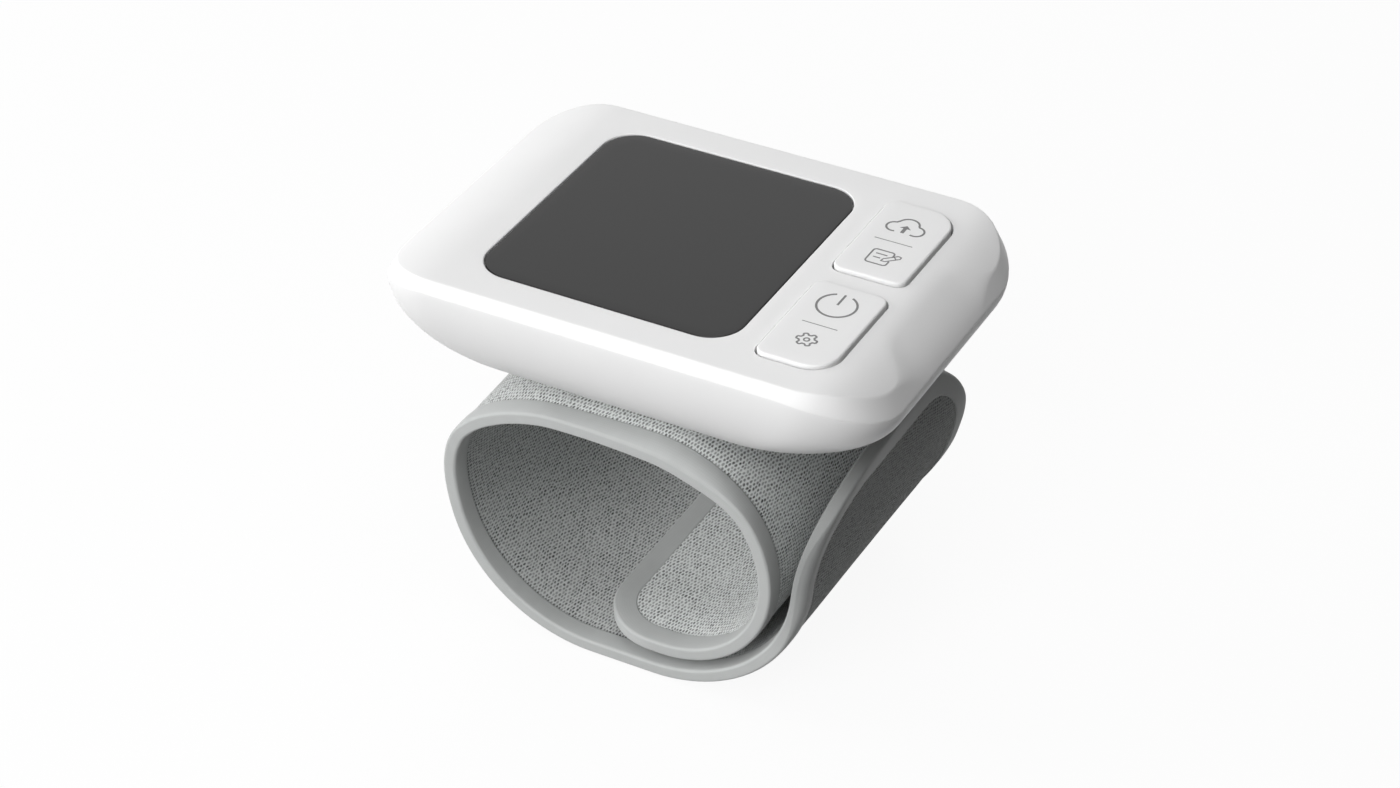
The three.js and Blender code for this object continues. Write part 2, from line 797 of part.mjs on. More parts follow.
// Flat parts soldered under the board, to the right of the cells
function chip(y, width, height) {
  const x = (contactEnd + boxWall + boardRight) / 2;
  const top = boardBottom - seatGap;
  return box(x - chipSide / 2, x + chipSide / 2, y - width / 2, y + width / 2, top - height, top);
}

function coverScrew(x, y) {
  const seat = -coverHeadDepth - fitGap;
  const head = rodZ(x, y, seat - coverHeadHeight, seat, coverHeadRadius);
  return join(head, rodZ(x, y, seat - fitGap, seamHeight(x) - bevel - fitGap, coverScrewRadius, 12));
}

function boardScrew(x, y) {
  const top = boardBottom - seatGap;
  const head = rodZ(x, y, top - boardHeadHeight, top, boardHeadRadius, 12);
  return join(head, rodZ(x, y, top - boardHeadHeight / 2, -lidThickness - fitGap, boardScrewRadius, 10));
}

function mountPlate() {
  const x = plateLength / 2;
  const y = plateWidth / 2;
  const top = -caseDepth - seatGap;
  const bottom = top - plateThickness;
  const holes = plateScrewPlaces.map(([sx, sy]) => rodZ(
    sx, sy, bottom - 1, top + 1, plateScrewRadius + pivotPlay, 12,
  ));
  const notch = nippleRadius + fitGap;
  const nippleNotch = join(
    rodZ(0, nippleY, bottom - 1, top + 1, notch, 12),
    box(-notch, notch, -2 * y, nippleY, bottom - 1, top + 1),
  );
  return cut(prism(roundedRect(-x, x, -y, y, plateCorner), bottom, top), ...holes, nippleNotch)
    .translate(-caseOffset, 0, 0);
}

function plateScrew(x, y) {
  const seat = floorTop + seatGap;
  const head = rodZ(x, y, seat, seat + plateHeadHeight, plateHeadRadius, 12);
  const tip = -caseDepth - seatGap - plateThickness;
  const shank = rodZ(x, y, tip, seat + plateHeadHeight / 2, plateScrewRadius, 12);
  return join(head, shank).translate(-caseOffset, 0, 0);
}

// Path of the band's outer face, from the end of the tail to the end of the flap, in the X-Z plane
const tailRadius = cuffHeight - bandThickness - tailGap - rightRadius;
const leftRadius = (cuffHeight - lowerLeftRadius - shoulderRadius * (1 - Math.cos(rad(30)))
  - cornerRadius * (Math.cos(rad(30)) - 0.5)) / 0.5;
const topLeftX = -restRun / 2 - lowerLeftRadius + shoulderRadius * 0.5
  + cornerRadius * (Math.sin(rad(60)) - 0.5) + leftRadius * (1 - Math.sin(rad(60)));
const rightBandX = topLeftX + topRun + rightRadius;
const flapRadius = (rightBandX + flapGap + bandThickness - restRun / 2) / Math.sin(rad(flapTurn));
const caseX = topLeftX + topRun / 2 + caseOffset;
const caseTop = cuffHeight + plateThickness + 2 * seatGap + caseDepth;

const bandRuns = {
  tail: { length: tailLength },
  tailBend: { radius: tailRadius, turn: 90 },
  right: { radius: rightRadius, turn: 90 },
  top: { length: topRun },
  shoulder: { radius: shoulderRadius, turn: 30 },
  corner: { radius: cornerRadius, turn: 30 },
  left: { radius: leftRadius, turn: 30 },
  lowerLeft: { radius: lowerLeftRadius, turn: 90 },
  rest: { length: restRun },
  flapBend: { radius: flapRadius, turn: flapTurn },
  flap: { length: flapLength, turn: -flapLean },
};

// Stations along the path, each with its place, its inward direction and its distance from the tail's end
function walkBand() {
  const stations = [];
  const marks = {};
  let along = 0;
  let heading = 0;
  let x = 0;
  let z = 0;
  const put = () => stations.push({ along, x, z, inX: -Math.sin(heading), inZ: Math.cos(heading) });
  put();
  for (const [name, run] of Object.entries(bandRuns)) {
    const turn = rad(run.turn ?? 0);
    const length = run.length ?? run.radius * turn;
    const steps = Math.max(turn === 0 ? 1 : 3, Math.round(turn === 0 ? 1 : length / facetLength));
    marks[name] = { start: along, end: along + length };
    for (let k = 0; k < steps; k += 1) {
      const step = turn / steps;
      const chord = (length / steps) * (step === 0 ? 1 : Math.sin(step / 2) / (step / 2));
      x += chord * Math.cos(heading + step / 2);
      z += chord * Math.sin(heading + step / 2);
      heading += step;
      along += length / steps;
      put();
    }
    if (name === 'lowerLeft') {
      marks.shift = { x: x + restRun / 2, z };
    }
  }
  for (const s of stations) {
    s.x -= marks.shift.x;
    s.z -= marks.shift.z;
  }
  return { stations, marks };
}

const { stations: bandStations, marks: bandMarks } = walkBand();
const bandEnd = bandStations[bandStations.length - 1].along;
const tailHinge = bandMarks.tailBend.start;
const flapHinge = bandMarks.flap.start;

// A point of the band: distance along it, place across it and depth below its outer face
function onBand(along, y, depth) {
  let k = 0;
  while (k < bandStations.length - 2 && bandStations[k + 1].along < along) {
    k += 1;
  }
  const a = bandStations[k];
  const b = bandStations[k + 1];
  const f = (along - a.along) / (b.along - a.along);
  const x = THREE.MathUtils.lerp(a.x + depth * a.inX, b.x + depth * b.inX, f);
  const z = THREE.MathUtils.lerp(a.z + depth * a.inZ, b.z + depth * b.inZ, f);
  return new THREE.Vector3(x, y, z);
}

function stationsBetween(start, end) {
  const low = Math.min(start, end);
  const high = Math.max(start, end);
  const inner = bandStations.map((s) => s.along).filter((u) => u > low + 0.2 && u < high - 0.2);
  const list = [low, ...inner, high];
  return start < end ? list : list.reverse();
}

const quadCap = [[0, 1, 2], [0, 2, 3]];

function stripRing(along, half, top, bottom) {
  return [
    onBand(along, -half, top), onBand(along, half, top),
    onBand(along, half, bottom), onBand(along, -half, bottom),
  ];
}

// Sheet of one layer round the closed part of the cuff
function loopSheet(start, end, margin, top, bottom) {
  const half = cuffWidth / 2 - margin;
  return loft(stationsBetween(start, end).map((u) => stripRing(u, half, top, bottom)), quadCap);
}

// Sheet of one layer on a free end with rounded corners
function endSheet(hinge, tip, corner, margin, top, bottom) {
  const way = Math.sign(tip - hinge);
  const half = cuffWidth / 2 - margin;
  const radius = corner - margin;
  const end = tip - way * margin;
  const rings = stationsBetween(hinge, end - way * radius).map((u) => stripRing(u, half, top, bottom));
  for (let k = 1; k <= 5; k += 1) {
    const a = rad(18 * k);
    const along = end - way * radius * (1 - Math.sin(a));
    rings.push(stripRing(along, half - radius * (1 - Math.cos(a)), top, bottom));
  }
  return loft(rings, quadCap);
}

// Section of the edge binding: a tape folded round the edge, open towards the band's middle
const slotTop = liningDepth - seatGap;
const slotBottom = liningDepth + liningThickness + seatGap;
const bindingSection = [
  [bindingBevel, 0], [bindingWidth, 0], [bindingWidth, slotTop], [bindingEdge, slotTop],
  [bindingEdge, slotBottom], [bindingWidth, slotBottom], [bindingWidth, bandThickness],
  [bindingBevel, bandThickness], [0, bandThickness - bindingBevel], [0, bindingBevel],
];
const bindingContour = bindingSection.map(([q, d]) => new THREE.Vector2(q, d));
const bindingCap = THREE.ShapeUtils.triangulateShape(bindingContour, []);

function sweepBinding(edge) {
  const rings = edge.map((p) => bindingSection.map(
    ([q, depth]) => onBand(p.along + q * p.inAlong, p.y + q * p.inY, depth),
  ));
  return loft(rings, bindingCap);
}

function loopBinding(side, start, end) {
  const y = side * cuffWidth / 2;
  return sweepBinding(stationsBetween(start, end).map((along) => ({ along, y, inAlong: 0, inY: -side })));
}

function endBinding(hinge, tip, corner) {
  const way = Math.sign(tip - hinge);
  const half = cuffWidth / 2;
  const straight = stationsBetween(hinge, tip - way * corner);
  const edge = straight.map((along) => ({ along, y: -half, inAlong: 0, inY: 1 }));
  for (const side of [-1, 1]) {
    for (let k = 0; k <= 6; k += 1) {
      const a = rad(15 * (side < 0 ? k : 6 - k));
      const along = tip - way * corner * (1 - Math.sin(a));
      const y = side * (half - corner * (1 - Math.cos(a)));
      edge.push({ along, y, inAlong: -way * Math.sin(a), inY: -side * Math.cos(a) });
    }
  }
  straight.reverse().forEach((along) => edge.push({ along, y: half, inAlong: 0, inY: -1 }));
  const step = (i) => Math.hypot(edge[i].along - edge[i - 1].along, edge[i].y - edge[i - 1].y);
  return sweepBinding(edge.filter((p, i) => i === 0 || step(i) > 0.05));
}

// Layers of the band
const loopStart = tailHinge + hingeGap / 2;
const loopEnd = flapHinge - hingeGap / 2;
const tailStart = tailHinge - hingeGap / 2;
const flapStart = flapHinge + hingeGap / 2;
const clothMargin = bindingWidth + sheetGap;
const liningMargin = bindingEdge + sheetGap;
const stiffenerTop = outerThickness + sheetGap;
const bladderTop = stiffenerTop + stiffenerThickness + sheetGap;
const nippleX = topLeftX + topRun / 2;

function cuffOuterFabric() {
  const sheet = loopSheet(loopStart, loopEnd, clothMargin, 0, outerThickness);
  return cut(sheet, rodZ(nippleX, nippleY, cuffHeight - 5, cuffHeight + 5, nippleRadius + fitGap, 12));
}

function cuffStiffener() {
  const sheet = loopSheet(
    bandMarks.right.start, bandMarks.lowerLeft.end, clothMargin + stiffenerMargin,
    stiffenerTop, stiffenerTop + stiffenerThickness,
  );
  return cut(sheet, rodZ(nippleX, nippleY, cuffHeight - 5, cuffHeight + 5, nippleFlange + fitGap));
}

function airBladder() {
  return loopSheet(
    bandMarks.right.start, bandMarks.left.end, clothMargin + bladderMargin,
    bladderTop, bladderTop + bladderThickness,
  );
}

function cuffLining() {
  return loopSheet(loopStart, loopEnd, liningMargin, liningDepth, liningDepth + liningThickness);
}

function endOuter(hinge, tip, corner) {
  return endSheet(hinge, tip, corner, clothMargin, 0, endOuterThickness);
}

function endLining(hinge, tip, corner) {
  return endSheet(hinge, tip, corner, liningMargin, liningDepth, liningDepth + liningThickness);
}

// Fitting that carries air from the block in the case to the bladder, with a flange on the bladder
function cuffNipple() {
  const flangeBottom = cuffHeight - bladderTop + bladderSeat;
  const flangeTop = cuffHeight - stiffenerTop;
  const top = caseTop - airLevel - fitGap;
  const stem = rodZ(nippleX, nippleY, flangeBottom, top, nippleRadius, 12);
  const flange = rodZ(nippleX, nippleY, flangeBottom, flangeTop, nippleFlange);
  return cut(join(stem, flange), rodZ(nippleX, nippleY, flangeBottom - 1, top + 1, nippleBore, 12));
}

function flapHookPatch() {
  const end = bandEnd - hookMargin;
  const top = liningDepth + liningThickness + seatGap;
  const half = cuffWidth / 2 - flapCorner;
  const places = stationsBetween(end - hookLength, end);
  return loft(places.map((u) => stripRing(u, half, top, top + hookThickness)), quadCap);
}

// Finishes
function finish(color, roughness, metalness = 0) {
  return new THREE.MeshStandardMaterial({ color, roughness, metalness });
}

const whiteShell = () => finish('#e9e9e8', 0.32);
const darkWindow = () => finish('#4a4a4a', 0.22);
const greyKnit = () => finish('#8b8f8d', 0.95);
const paleKnit = () => finish('#a5aaa8', 0.95);
const greyBinding = () => finish('#b2b5b4', 0.8);
const steel = () => finish('#b9bcc0', 0.3, 0.9);
const blackPlastic = () => finish('#26272a', 0.5);
const whitePlastic = () => finish('#d8d8d4', 0.5);
const clearRubber = () => finish('#d9dcd6', 0.6);
const boardGreen = () => finish('#1f5a3a', 0.55);
const panelGlass = () => finish('#6b726a', 0.15);
const cellSleeve = () => finish('#3a4a5a', 0.4);
const bladderFilm = () => finish('#c9ccd0', 0.45);

const monitor = new THREE.Group();
const caseGroup = new THREE.Group();
caseGroup.position.set(caseX, 0, caseTop);
const cuffGroup = new THREE.Group();
monitor.add(caseGroup, cuffGroup);

function put(group, name, geometry, material) {
  const mesh = new THREE.Mesh(geometry, material);
  mesh.name = name;
  group.add(mesh);
}

// Case and what it holds
put(caseGroup, 'top_cover', topCover(), whiteShell());
put(caseGroup, 'bottom_cover', bottomCover(), whiteShell());
put(caseGroup, 'battery_door', batteryDoor(), whiteShell());
put(caseGroup, 'door_contact', doorContact(), steel());
put(caseGroup, 'display_window', displayWindow(), darkWindow());
put(caseGroup, 'lcd_panel', lcdPanel(), panelGlass());
put(caseGroup, 'lcd_frame', lcdFrame(), whitePlastic());
put(caseGroup, 'zebra_strip_front', zebraStrip(-1), clearRubber());
put(caseGroup, 'zebra_strip_back', zebraStrip(1), clearRubber());
put(caseGroup, 'main_board', mainBoard(), boardGreen());
put(caseGroup, 'main_chip', chip(0, chipSide, chipHeight), blackPlastic());
put(caseGroup, 'wireless_module', chip(chipSpacing, moduleWidth, moduleHeight), steel());
put(caseGroup, 'buzzer', chip(-chipSpacing, chipSide, buzzerHeight), blackPlastic());
put(caseGroup, 'pressure_sensor', pressureSensor(), blackPlastic());
put(caseGroup, 'lower_button', button(-1), whiteShell());
put(caseGroup, 'upper_button', button(1), whiteShell());
put(caseGroup, 'lower_pivot_pin', pivotPin(-1), steel());
put(caseGroup, 'upper_pivot_pin', pivotPin(1), steel());
[[-1, -1], [-1, 1], [1, -1], [1, 1]].forEach(([side, end], i) => {
  put(caseGroup, `tact_switch_${i + 1}`, tactSwitch(side, end), blackPlastic());
});
put(caseGroup, 'battery_1', battery(-1), cellSleeve());
put(caseGroup, 'battery_2', battery(1), cellSleeve());
put(caseGroup, 'contact_spring', contactSpring(), steel());
put(caseGroup, 'spring_contact_plate', contactPlate(1), steel());
put(caseGroup, 'positive_contact_plate', contactPlate(-1), steel());
put(caseGroup, 'pump_motor', pumpMotor(), steel());
put(caseGroup, 'pump_head', pumpHead(), blackPlastic());
put(caseGroup, 'release_valve', releaseValve(), steel());
put(caseGroup, 'air_block', airBlock(), whitePlastic());
put(caseGroup, 'air_hose', airHose(), clearRubber());
coverScrewPlaces.forEach(([x, y], i) => put(caseGroup, `cover_screw_${i + 1}`, coverScrew(x, y), steel()));
boardScrewPlaces.forEach(([x, y], i) => put(caseGroup, `board_screw_${i + 1}`, boardScrew(x, y), steel()));
put(caseGroup, 'mount_plate', mountPlate(), whitePlastic());
plateScrewPlaces.forEach(([x, y], i) => put(caseGroup, `plate_screw_${i + 1}`, plateScrew(x, y), steel()));

// Cuff
put(cuffGroup, 'cuff_nipple', cuffNipple(), clearRubber());
put(cuffGroup, 'cuff_outer_fabric', cuffOuterFabric(), greyKnit());
put(cuffGroup, 'cuff_stiffener', cuffStiffener(), whitePlastic());
put(cuffGroup, 'air_bladder', airBladder(), bladderFilm());
put(cuffGroup, 'cuff_lining', cuffLining(), paleKnit());
put(cuffGroup, 'cuff_binding_front', loopBinding(-1, loopStart, loopEnd), greyBinding());
put(cuffGroup, 'cuff_binding_back', loopBinding(1, loopStart, loopEnd), greyBinding());

// Free ends of the band
const tailEnd = [tailStart, 0, tailCorner];
const flapEnd = [flapStart, bandEnd, flapCorner];
put(cuffGroup, 'tail_outer_fabric', endOuter(...tailEnd), greyKnit());
put(cuffGroup, 'tail_lining', endLining(...tailEnd), paleKnit());
put(cuffGroup, 'tail_binding', endBinding(...tailEnd), greyBinding());
put(cuffGroup, 'flap_outer_fabric', endOuter(...flapEnd), greyKnit());
put(cuffGroup, 'flap_lining', endLining(...flapEnd), paleKnit());
put(cuffGroup, 'flap_binding', endBinding(...flapEnd), greyBinding());
put(cuffGroup, 'hook_patch', flapHookPatch(), blackPlastic());

export default monitor;
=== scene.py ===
import math
import bmesh
import bpy
import numpy as np
from mathutils import Matrix, Vector
from mathutils.geometry import delaunay_2d_cdt


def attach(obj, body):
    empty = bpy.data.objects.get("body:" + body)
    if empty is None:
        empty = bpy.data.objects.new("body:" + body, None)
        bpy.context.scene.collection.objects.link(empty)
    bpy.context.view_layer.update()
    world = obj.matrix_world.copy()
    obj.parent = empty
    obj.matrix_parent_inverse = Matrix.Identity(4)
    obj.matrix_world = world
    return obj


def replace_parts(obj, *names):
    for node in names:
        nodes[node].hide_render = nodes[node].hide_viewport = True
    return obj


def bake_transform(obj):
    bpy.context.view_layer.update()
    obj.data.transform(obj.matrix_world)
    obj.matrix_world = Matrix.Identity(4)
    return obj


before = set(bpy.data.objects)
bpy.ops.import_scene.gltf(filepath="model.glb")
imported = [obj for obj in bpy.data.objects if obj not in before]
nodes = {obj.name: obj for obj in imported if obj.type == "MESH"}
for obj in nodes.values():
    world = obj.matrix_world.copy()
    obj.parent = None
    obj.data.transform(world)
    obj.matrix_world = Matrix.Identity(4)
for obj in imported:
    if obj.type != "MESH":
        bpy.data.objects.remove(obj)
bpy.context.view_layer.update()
scene = bpy.context.scene
print("frame loaded:", len(nodes), "solids")

mm = 0.001
clothMap = "cloth"
caseSharp = 40.0  # degrees between faces of the case from which an edge is hard
# from the middle of the rest flat to the middle of the display, on the flat top
caseShift = np.array([-4.77, 0.0, 65.7])


# a dictionary whose values are read by name
class Look(dict):
    __getattr__ = dict.__getitem__


# meshes are arrays in millimetres until they are put down

# quads of a grid of points numbered row by row; a closed direction joins its last line to its first
def gridQuads(rows, cols, closeRows=False, closeCols=False):
    i, j = np.meshgrid(np.arange(rows - (not closeRows)), np.arange(cols - (not closeCols)), indexing="ij")
    iNext, jNext = (i + 1) % rows, (j + 1) % cols
    quads = [i * cols + j, i * cols + jNext, iNext * cols + jNext, iNext * cols + j]
    return np.stack(quads, axis=-1).reshape(-1, 4)


# several (points, list of face arrays) as one
def joined(parts):
    firsts = np.cumsum([0] + [len(points) for points, _ in parts])
    faces = [f + first for (_, group), first in zip(parts, firsts) for f in group]
    return np.concatenate([points for points, _ in parts]), faces


# the same, with points welded that are at the same place, to a ten-thousandth
def weld(parts):
    points, faces = joined(parts)
    _, keep, back = np.unique(np.round(points, 4), axis=0, return_index=True, return_inverse=True)
    return points[keep], [back.reshape(-1)[f] for f in faces]


# puts points and faces into a mesh object at the origin
def putDown(name, points, faces, finish, uv=None, sharp=35.0):
    mesh = bpy.data.meshes.new(name)
    mesh.from_pydata((points * mm).tolist(), [], [f for group in faces for f in group.tolist()])
    if uv is not None:
        corner = np.empty(len(mesh.loops), dtype=np.int32)
        mesh.loops.foreach_get("vertex_index", corner)
        mesh.uv_layers.new(name=clothMap).data.foreach_set("uv", uv[corner].ravel())
    piece = bpy.data.objects.new(name, mesh)
    scene.collection.objects.link(piece)
    return dress(piece, finish, sharp)


# welded parts of the case, put down in its place
def putOnCase(name, parts, finish, sharp=caseSharp):
    points, faces = weld(parts)
    return putDown(name, points + caseShift, faces, finish, sharp=sharp)


# turns an object's normals outwards, marks its hard edges sharp and gives it one finish
def dress(piece, finish, sharp):
    bm = bmesh.new()
    bm.from_mesh(piece.data)
    bmesh.ops.recalc_face_normals(bm, faces=bm.faces)
    bm.to_mesh(piece.data)
    bm.free()
    piece.data.shade_smooth()
    piece.data.set_sharp_from_angle(angle=math.radians(sharp))
    piece.data.materials.clear()
    piece.data.materials.append(finish)
    return piece


# which points lie inside an outline and outside its holes: an odd number of sides is crossed on the way out
def inside(points, rings):
    a = np.concatenate(rings)
    b = np.concatenate([np.roll(ring, -1, axis=0) for ring in rings])
    px, py = points[:, :1], points[:, 1:]
    spans = (a[:, 1] > py) != (b[:, 1] > py)
    rise = np.where(b[:, 1] == a[:, 1], 1e-12, b[:, 1] - a[:, 1])
    crossing = a[:, 0] + (py - a[:, 1]) / rise * (b[:, 0] - a[:, 0])
    return (spans & (px < crossing)).sum(axis=1) % 2 == 1


# outline carried to a height, a number or a function of x, less a drop
def raised(ring, height, drop=0.0):
    z = height(ring[:, 0]) if callable(height) else np.full(len(ring), float(height))
    return np.column_stack([ring, z - drop])


# raised patch between an outline and its holes: triangles over a grid of points, which keeps clear of the
# edges by a share of its spacing
def patch(outer, holes, height, spacing, drop=0.0, clear=0.55):
    rings = [outer, *holes]
    edge = np.concatenate(rings)
    gx, gy = np.meshgrid(*[np.arange(outer[:, k].min(), outer[:, k].max(), spacing) for k in (0, 1)])
    grid = np.stack([gx.ravel(), gy.ravel()], axis=1)
    near = np.sqrt(((grid[:, None] - edge[None]) ** 2).sum(axis=2)).min(axis=1)
    points = np.concatenate([edge, grid[inside(grid, rings) & (near > clear * spacing)]])
    ids = np.split(np.arange(len(edge)), np.cumsum([len(ring) for ring in rings])[:-1])
    links = np.concatenate([np.column_stack([k, np.roll(k, -1)]) for k in ids])
    made = delaunay_2d_cdt([Vector(p) for p in points.tolist()], links.tolist(), [], 0, 1e-7)
    flat, triangles = np.array([tuple(v) for v in made[0]]), np.array(made[2])
    keep = inside(flat[triangles].mean(axis=1), rings)
    return raised(flat, height, drop), [triangles[keep]]


# strip through rings of equally many points, each ring closed
def strip(rings):
    return np.concatenate(rings), [gridQuads(len(rings), len(rings[0]), closeCols=True)]


# closed prism on a flat outline between two levels; caps are faces of the outline, or one face over all of it
def prism(ring, low, high, caps=None):
    points, sides = strip([raised(ring, low), raised(ring, high)])
    ends = np.arange(len(ring))[None] if caps is None else np.array(caps)
    return points, [*sides, ends[:, ::-1], ends + len(ring)]


# closed slab between two grids of the same size: the two faces and the wall round their edge
def slab(top, low):
    rows, cols = top.shape[:2]
    quads = gridQuads(rows, cols)
    ids = np.arange(rows * cols).reshape(rows, cols)
    edge = np.concatenate([ids[0, :-1], ids[:-1, -1], ids[-1, :0:-1], ids[:0:-1, 0]])
    turn = np.roll(edge, -1)
    wall = np.stack([edge, turn, turn + rows * cols, edge + rows * cols], axis=1)
    points = np.concatenate([top.reshape(-1, 3), low.reshape(-1, 3)])
    return points, [quads, quads[:, ::-1] + rows * cols, wall]


# three-point curve between two rings that leaves and arrives along the lines to the corner ring
def easedCorner(start, corner, end, steps):
    t = np.linspace(0, 1, steps + 1)[:, None, None]
    return list((1 - t) ** 2 * start + 2 * t * (1 - t) * corner + t ** 2 * end)


# rings of a wall: eased from the face's outline over the edge's, then straight down by each drop
def easedWall(face, edge, height, ease, steps, drops):
    return [*easedCorner(raised(face, height), raised(edge, height), raised(edge, height, ease), steps),
            *[raised(edge, height, drop) for drop in drops]]


# rectangle, grown all round, with a radius at each corner, from the front left one by the front right one
def roundRect(x0, x1, y0, y1, radii, grow=0.0, arc=14, side=24):
    a, b, c, d = radii
    centres = np.array([(x0 + a, y0 + a), (x1 - b, y0 + b), (x1 - c, y1 - c), (x0 + d, y1 - d)])
    turns = np.radians(np.linspace(180, 270, arc + 1)[None] + 90 * np.arange(4)[:, None])
    reach = np.array(radii)[:, None, None] + grow
    arcs = np.stack([np.cos(turns), np.sin(turns)], axis=-1) * reach + centres[:, None]
    share = np.linspace(0, 1, side + 1)[1:-1, None]
    sides = arcs[:, -1:] + share * (np.roll(arcs, -1, axis=0)[:, :1] - arcs[:, -1:])
    return np.concatenate([arcs, sides], axis=1).reshape(-1, 2)


# points at equal angles on an arc, from a start to an end in degrees
def arcLine(centre, radius, start, end, count=24):
    a = np.radians(np.linspace(start, end, count))
    return np.column_stack([centre[0] + radius * np.cos(a), centre[1] + radius * np.sin(a)])


# the same all the way round, with no point repeated
def circle(centre, radius, count):
    return arcLine(centre, radius, 0, 360 - 360 / count, count)


# straights through corners, each in equal steps
def straight(*corners, steps=6):
    corners = np.array(corners, dtype=float)
    share = np.linspace(0, 1, steps + 1)[:-1, None]
    runs = [a + share * (b - a) for a, b in zip(corners[:-1], corners[1:])]
    return np.concatenate([*runs, corners[-1:]])


# length along a line of points, from its first one
def runAlong(line):
    return np.concatenate([[0], np.cumsum(np.linalg.norm(np.diff(line, axis=0), axis=1))])


# goes from 0 to 1 with level ends: three times the square less twice the cube
def smooth(t):
    t = np.clip(t, 0, 1)
    return t * t * (3 - 2 * t)


# applies one cut, join or common part of two closed meshes and throws the tool away
def carve(piece, tool, operation):
    step = piece.modifiers.new(operation.lower(), "BOOLEAN")
    step.operation, step.solver, step.object = operation, "EXACT", tool
    made = bpy.data.meshes.new_from_object(piece.evaluated_get(bpy.context.evaluated_depsgraph_get()))
    piece.modifiers.clear()
    piece.data = made
    bpy.data.objects.remove(tool)


# a value in a material's nodes: signs between values add Math nodes, and node() adds any other one
class Field:
    def __init__(self, tree, socket=None):
        self.tree, self.socket = tree, socket

    def node(self, kind, settings, sockets, output=0):
        made = self.tree.nodes.new(kind)
        for key, value in settings.items():
            setattr(made, key, value)
        for key, value in sockets.items():
            if isinstance(value, Field):
                self.tree.links.new(value.socket, made.inputs[key])
            else:
                made.inputs[key].default_value = value
        return Field(self.tree, made.outputs[output])

    def math(self, operation, *values):
        return self.node("ShaderNodeMath", {"operation": operation}, dict(enumerate(values)))

    __add__ = __radd__ = lambda a, b: a.math("ADD", a, b)
    __sub__ = lambda a, b: a.math("SUBTRACT", a, b)
    __rsub__ = lambda a, b: a.math("SUBTRACT", b, a)
    __mul__ = __rmul__ = lambda a, b: a.math("MULTIPLY", a, b)
    __truediv__ = lambda a, b: a.math("DIVIDE", a, b)
    __rtruediv__ = lambda a, b: a.math("DIVIDE", b, a)
    __pow__ = lambda a, b: a.math("POWER", a, b)
    __rpow__ = lambda a, b: a.math("POWER", b, a)
    floor = lambda a: a.math("FLOOR", a)
    over = lambda a, limit: a.math("GREATER_THAN", a, limit)
    under = lambda a, limit: a.math("LESS_THAN", a, limit)

    # wave between 0 and 1 along this value
    def wave(self, length):
        return self.math("SINE", self * (2 * math.pi / length)) * 0.5 + 0.5

    def clip(self):
        return self.node("ShaderNodeClamp", {}, {"Value": self, "Min": 0.0, "Max": 1.0})

    def noise(self, scale, detail=2.0):
        return self.node("ShaderNodeTexNoise", {"noise_dimensions": "3D"},
                         {"Vector": self, "Scale": scale, "Detail": detail})

    # place turned and scaled, for streaks
    def mapped(self, scale, turn=(0.0, 0.0, 0.0)):
        return self.node("ShaderNodeMapping", {"vector_type": "POINT"},
                         {"Vector": self, "Rotation": turn, "Scale": scale})

    # the Mix node's sockets 6 and 7 and its output 2 are its colours
    def blend(self, low, high):
        return self.node("ShaderNodeMix", {"data_type": "RGBA"}, {0: self, 6: low, 7: high}, 2)

    def part(self, axis):
        return self.node("ShaderNodeSeparateXYZ", {}, {0: self}, axis)

    def bump(self, strength, distance):
        return self.node("ShaderNodeBump", {}, {"Strength": strength, "Distance": distance, "Height": self})


# starts a material: uniform values are set on the shader itself, and place is what its patterns follow
def startFinish(name, look, uvMap=None):
    made = bpy.data.materials.new(name)
    made.use_nodes = True
    shader = made.node_tree.nodes["Principled BSDF"]
    for key, value in look.uniform.items():
        shader.inputs[key].default_value = value
    seed = Field(made.node_tree)
    if uvMap:
        place = seed.node("ShaderNodeUVMap", {"uv_map": uvMap}, {})
    else:
        place = seed.node("ShaderNodeTexCoord", {}, {}, "Object")

    def feed(**links):
        for key, value in links.items():
            made.node_tree.links.new(value.socket, shader.inputs[key.replace("_", " ")])
        return made

    return place, feed


# a grey with each channel multiplied by a tint
def grey(value, tint=(1.0, 1.0, 1.0)):
    return (*(value * t for t in tint), 1.0)


shellLook = Look(
    low=grey(0.8), high=grey(0.84), rough=0.36, spread=0.1, grain=0.12, grainDepth=0.00002, broadScale=70.0,
    glossScale=420.0, grainScale=5200.0, uniform={"IOR": 1.46, "Specular IOR Level": 0.2})


# moulded plastic: broad faint tone changes, a fine satin grain and slightly uneven gloss
def mouldedPlastic(name, look):
    place, feed = startFinish(name, look)
    broad, gloss = place.noise(look.broadScale), place.noise(look.glossScale, 3.0)
    grain = place.noise(look.grainScale, 1.0)
    return feed(Base_Color=broad.blend(look.low, look.high),
                Roughness=(gloss - 0.5) * look.spread + look.rough,
                Normal=grain.bump(look.grain, look.grainDepth))


# the same plastic in other tones and another gloss
def tonedPlastic(name, low, high, rough):
    return mouldedPlastic(name, Look(shellLook, low=grey(low), high=grey(high), rough=rough))


shellWhite = mouldedPlastic("shell_satin_white", shellLook)
capWhite = mouldedPlastic("button_satin_white", Look(shellLook, rough=0.33))
innerPlastic = tonedPlastic("inner_plastic", 0.6, 0.66, 0.5)
blackPlastic = tonedPlastic("black_plastic", 0.012, 0.02, 0.45)
softRubber = tonedPlastic("soft_rubber", 0.42, 0.5, 0.62)
lcdGlass = tonedPlastic("lcd_glass", 0.1, 0.13, 0.14)
inkGrey = tonedPlastic("symbol_ink", 0.2, 0.25, 0.6)

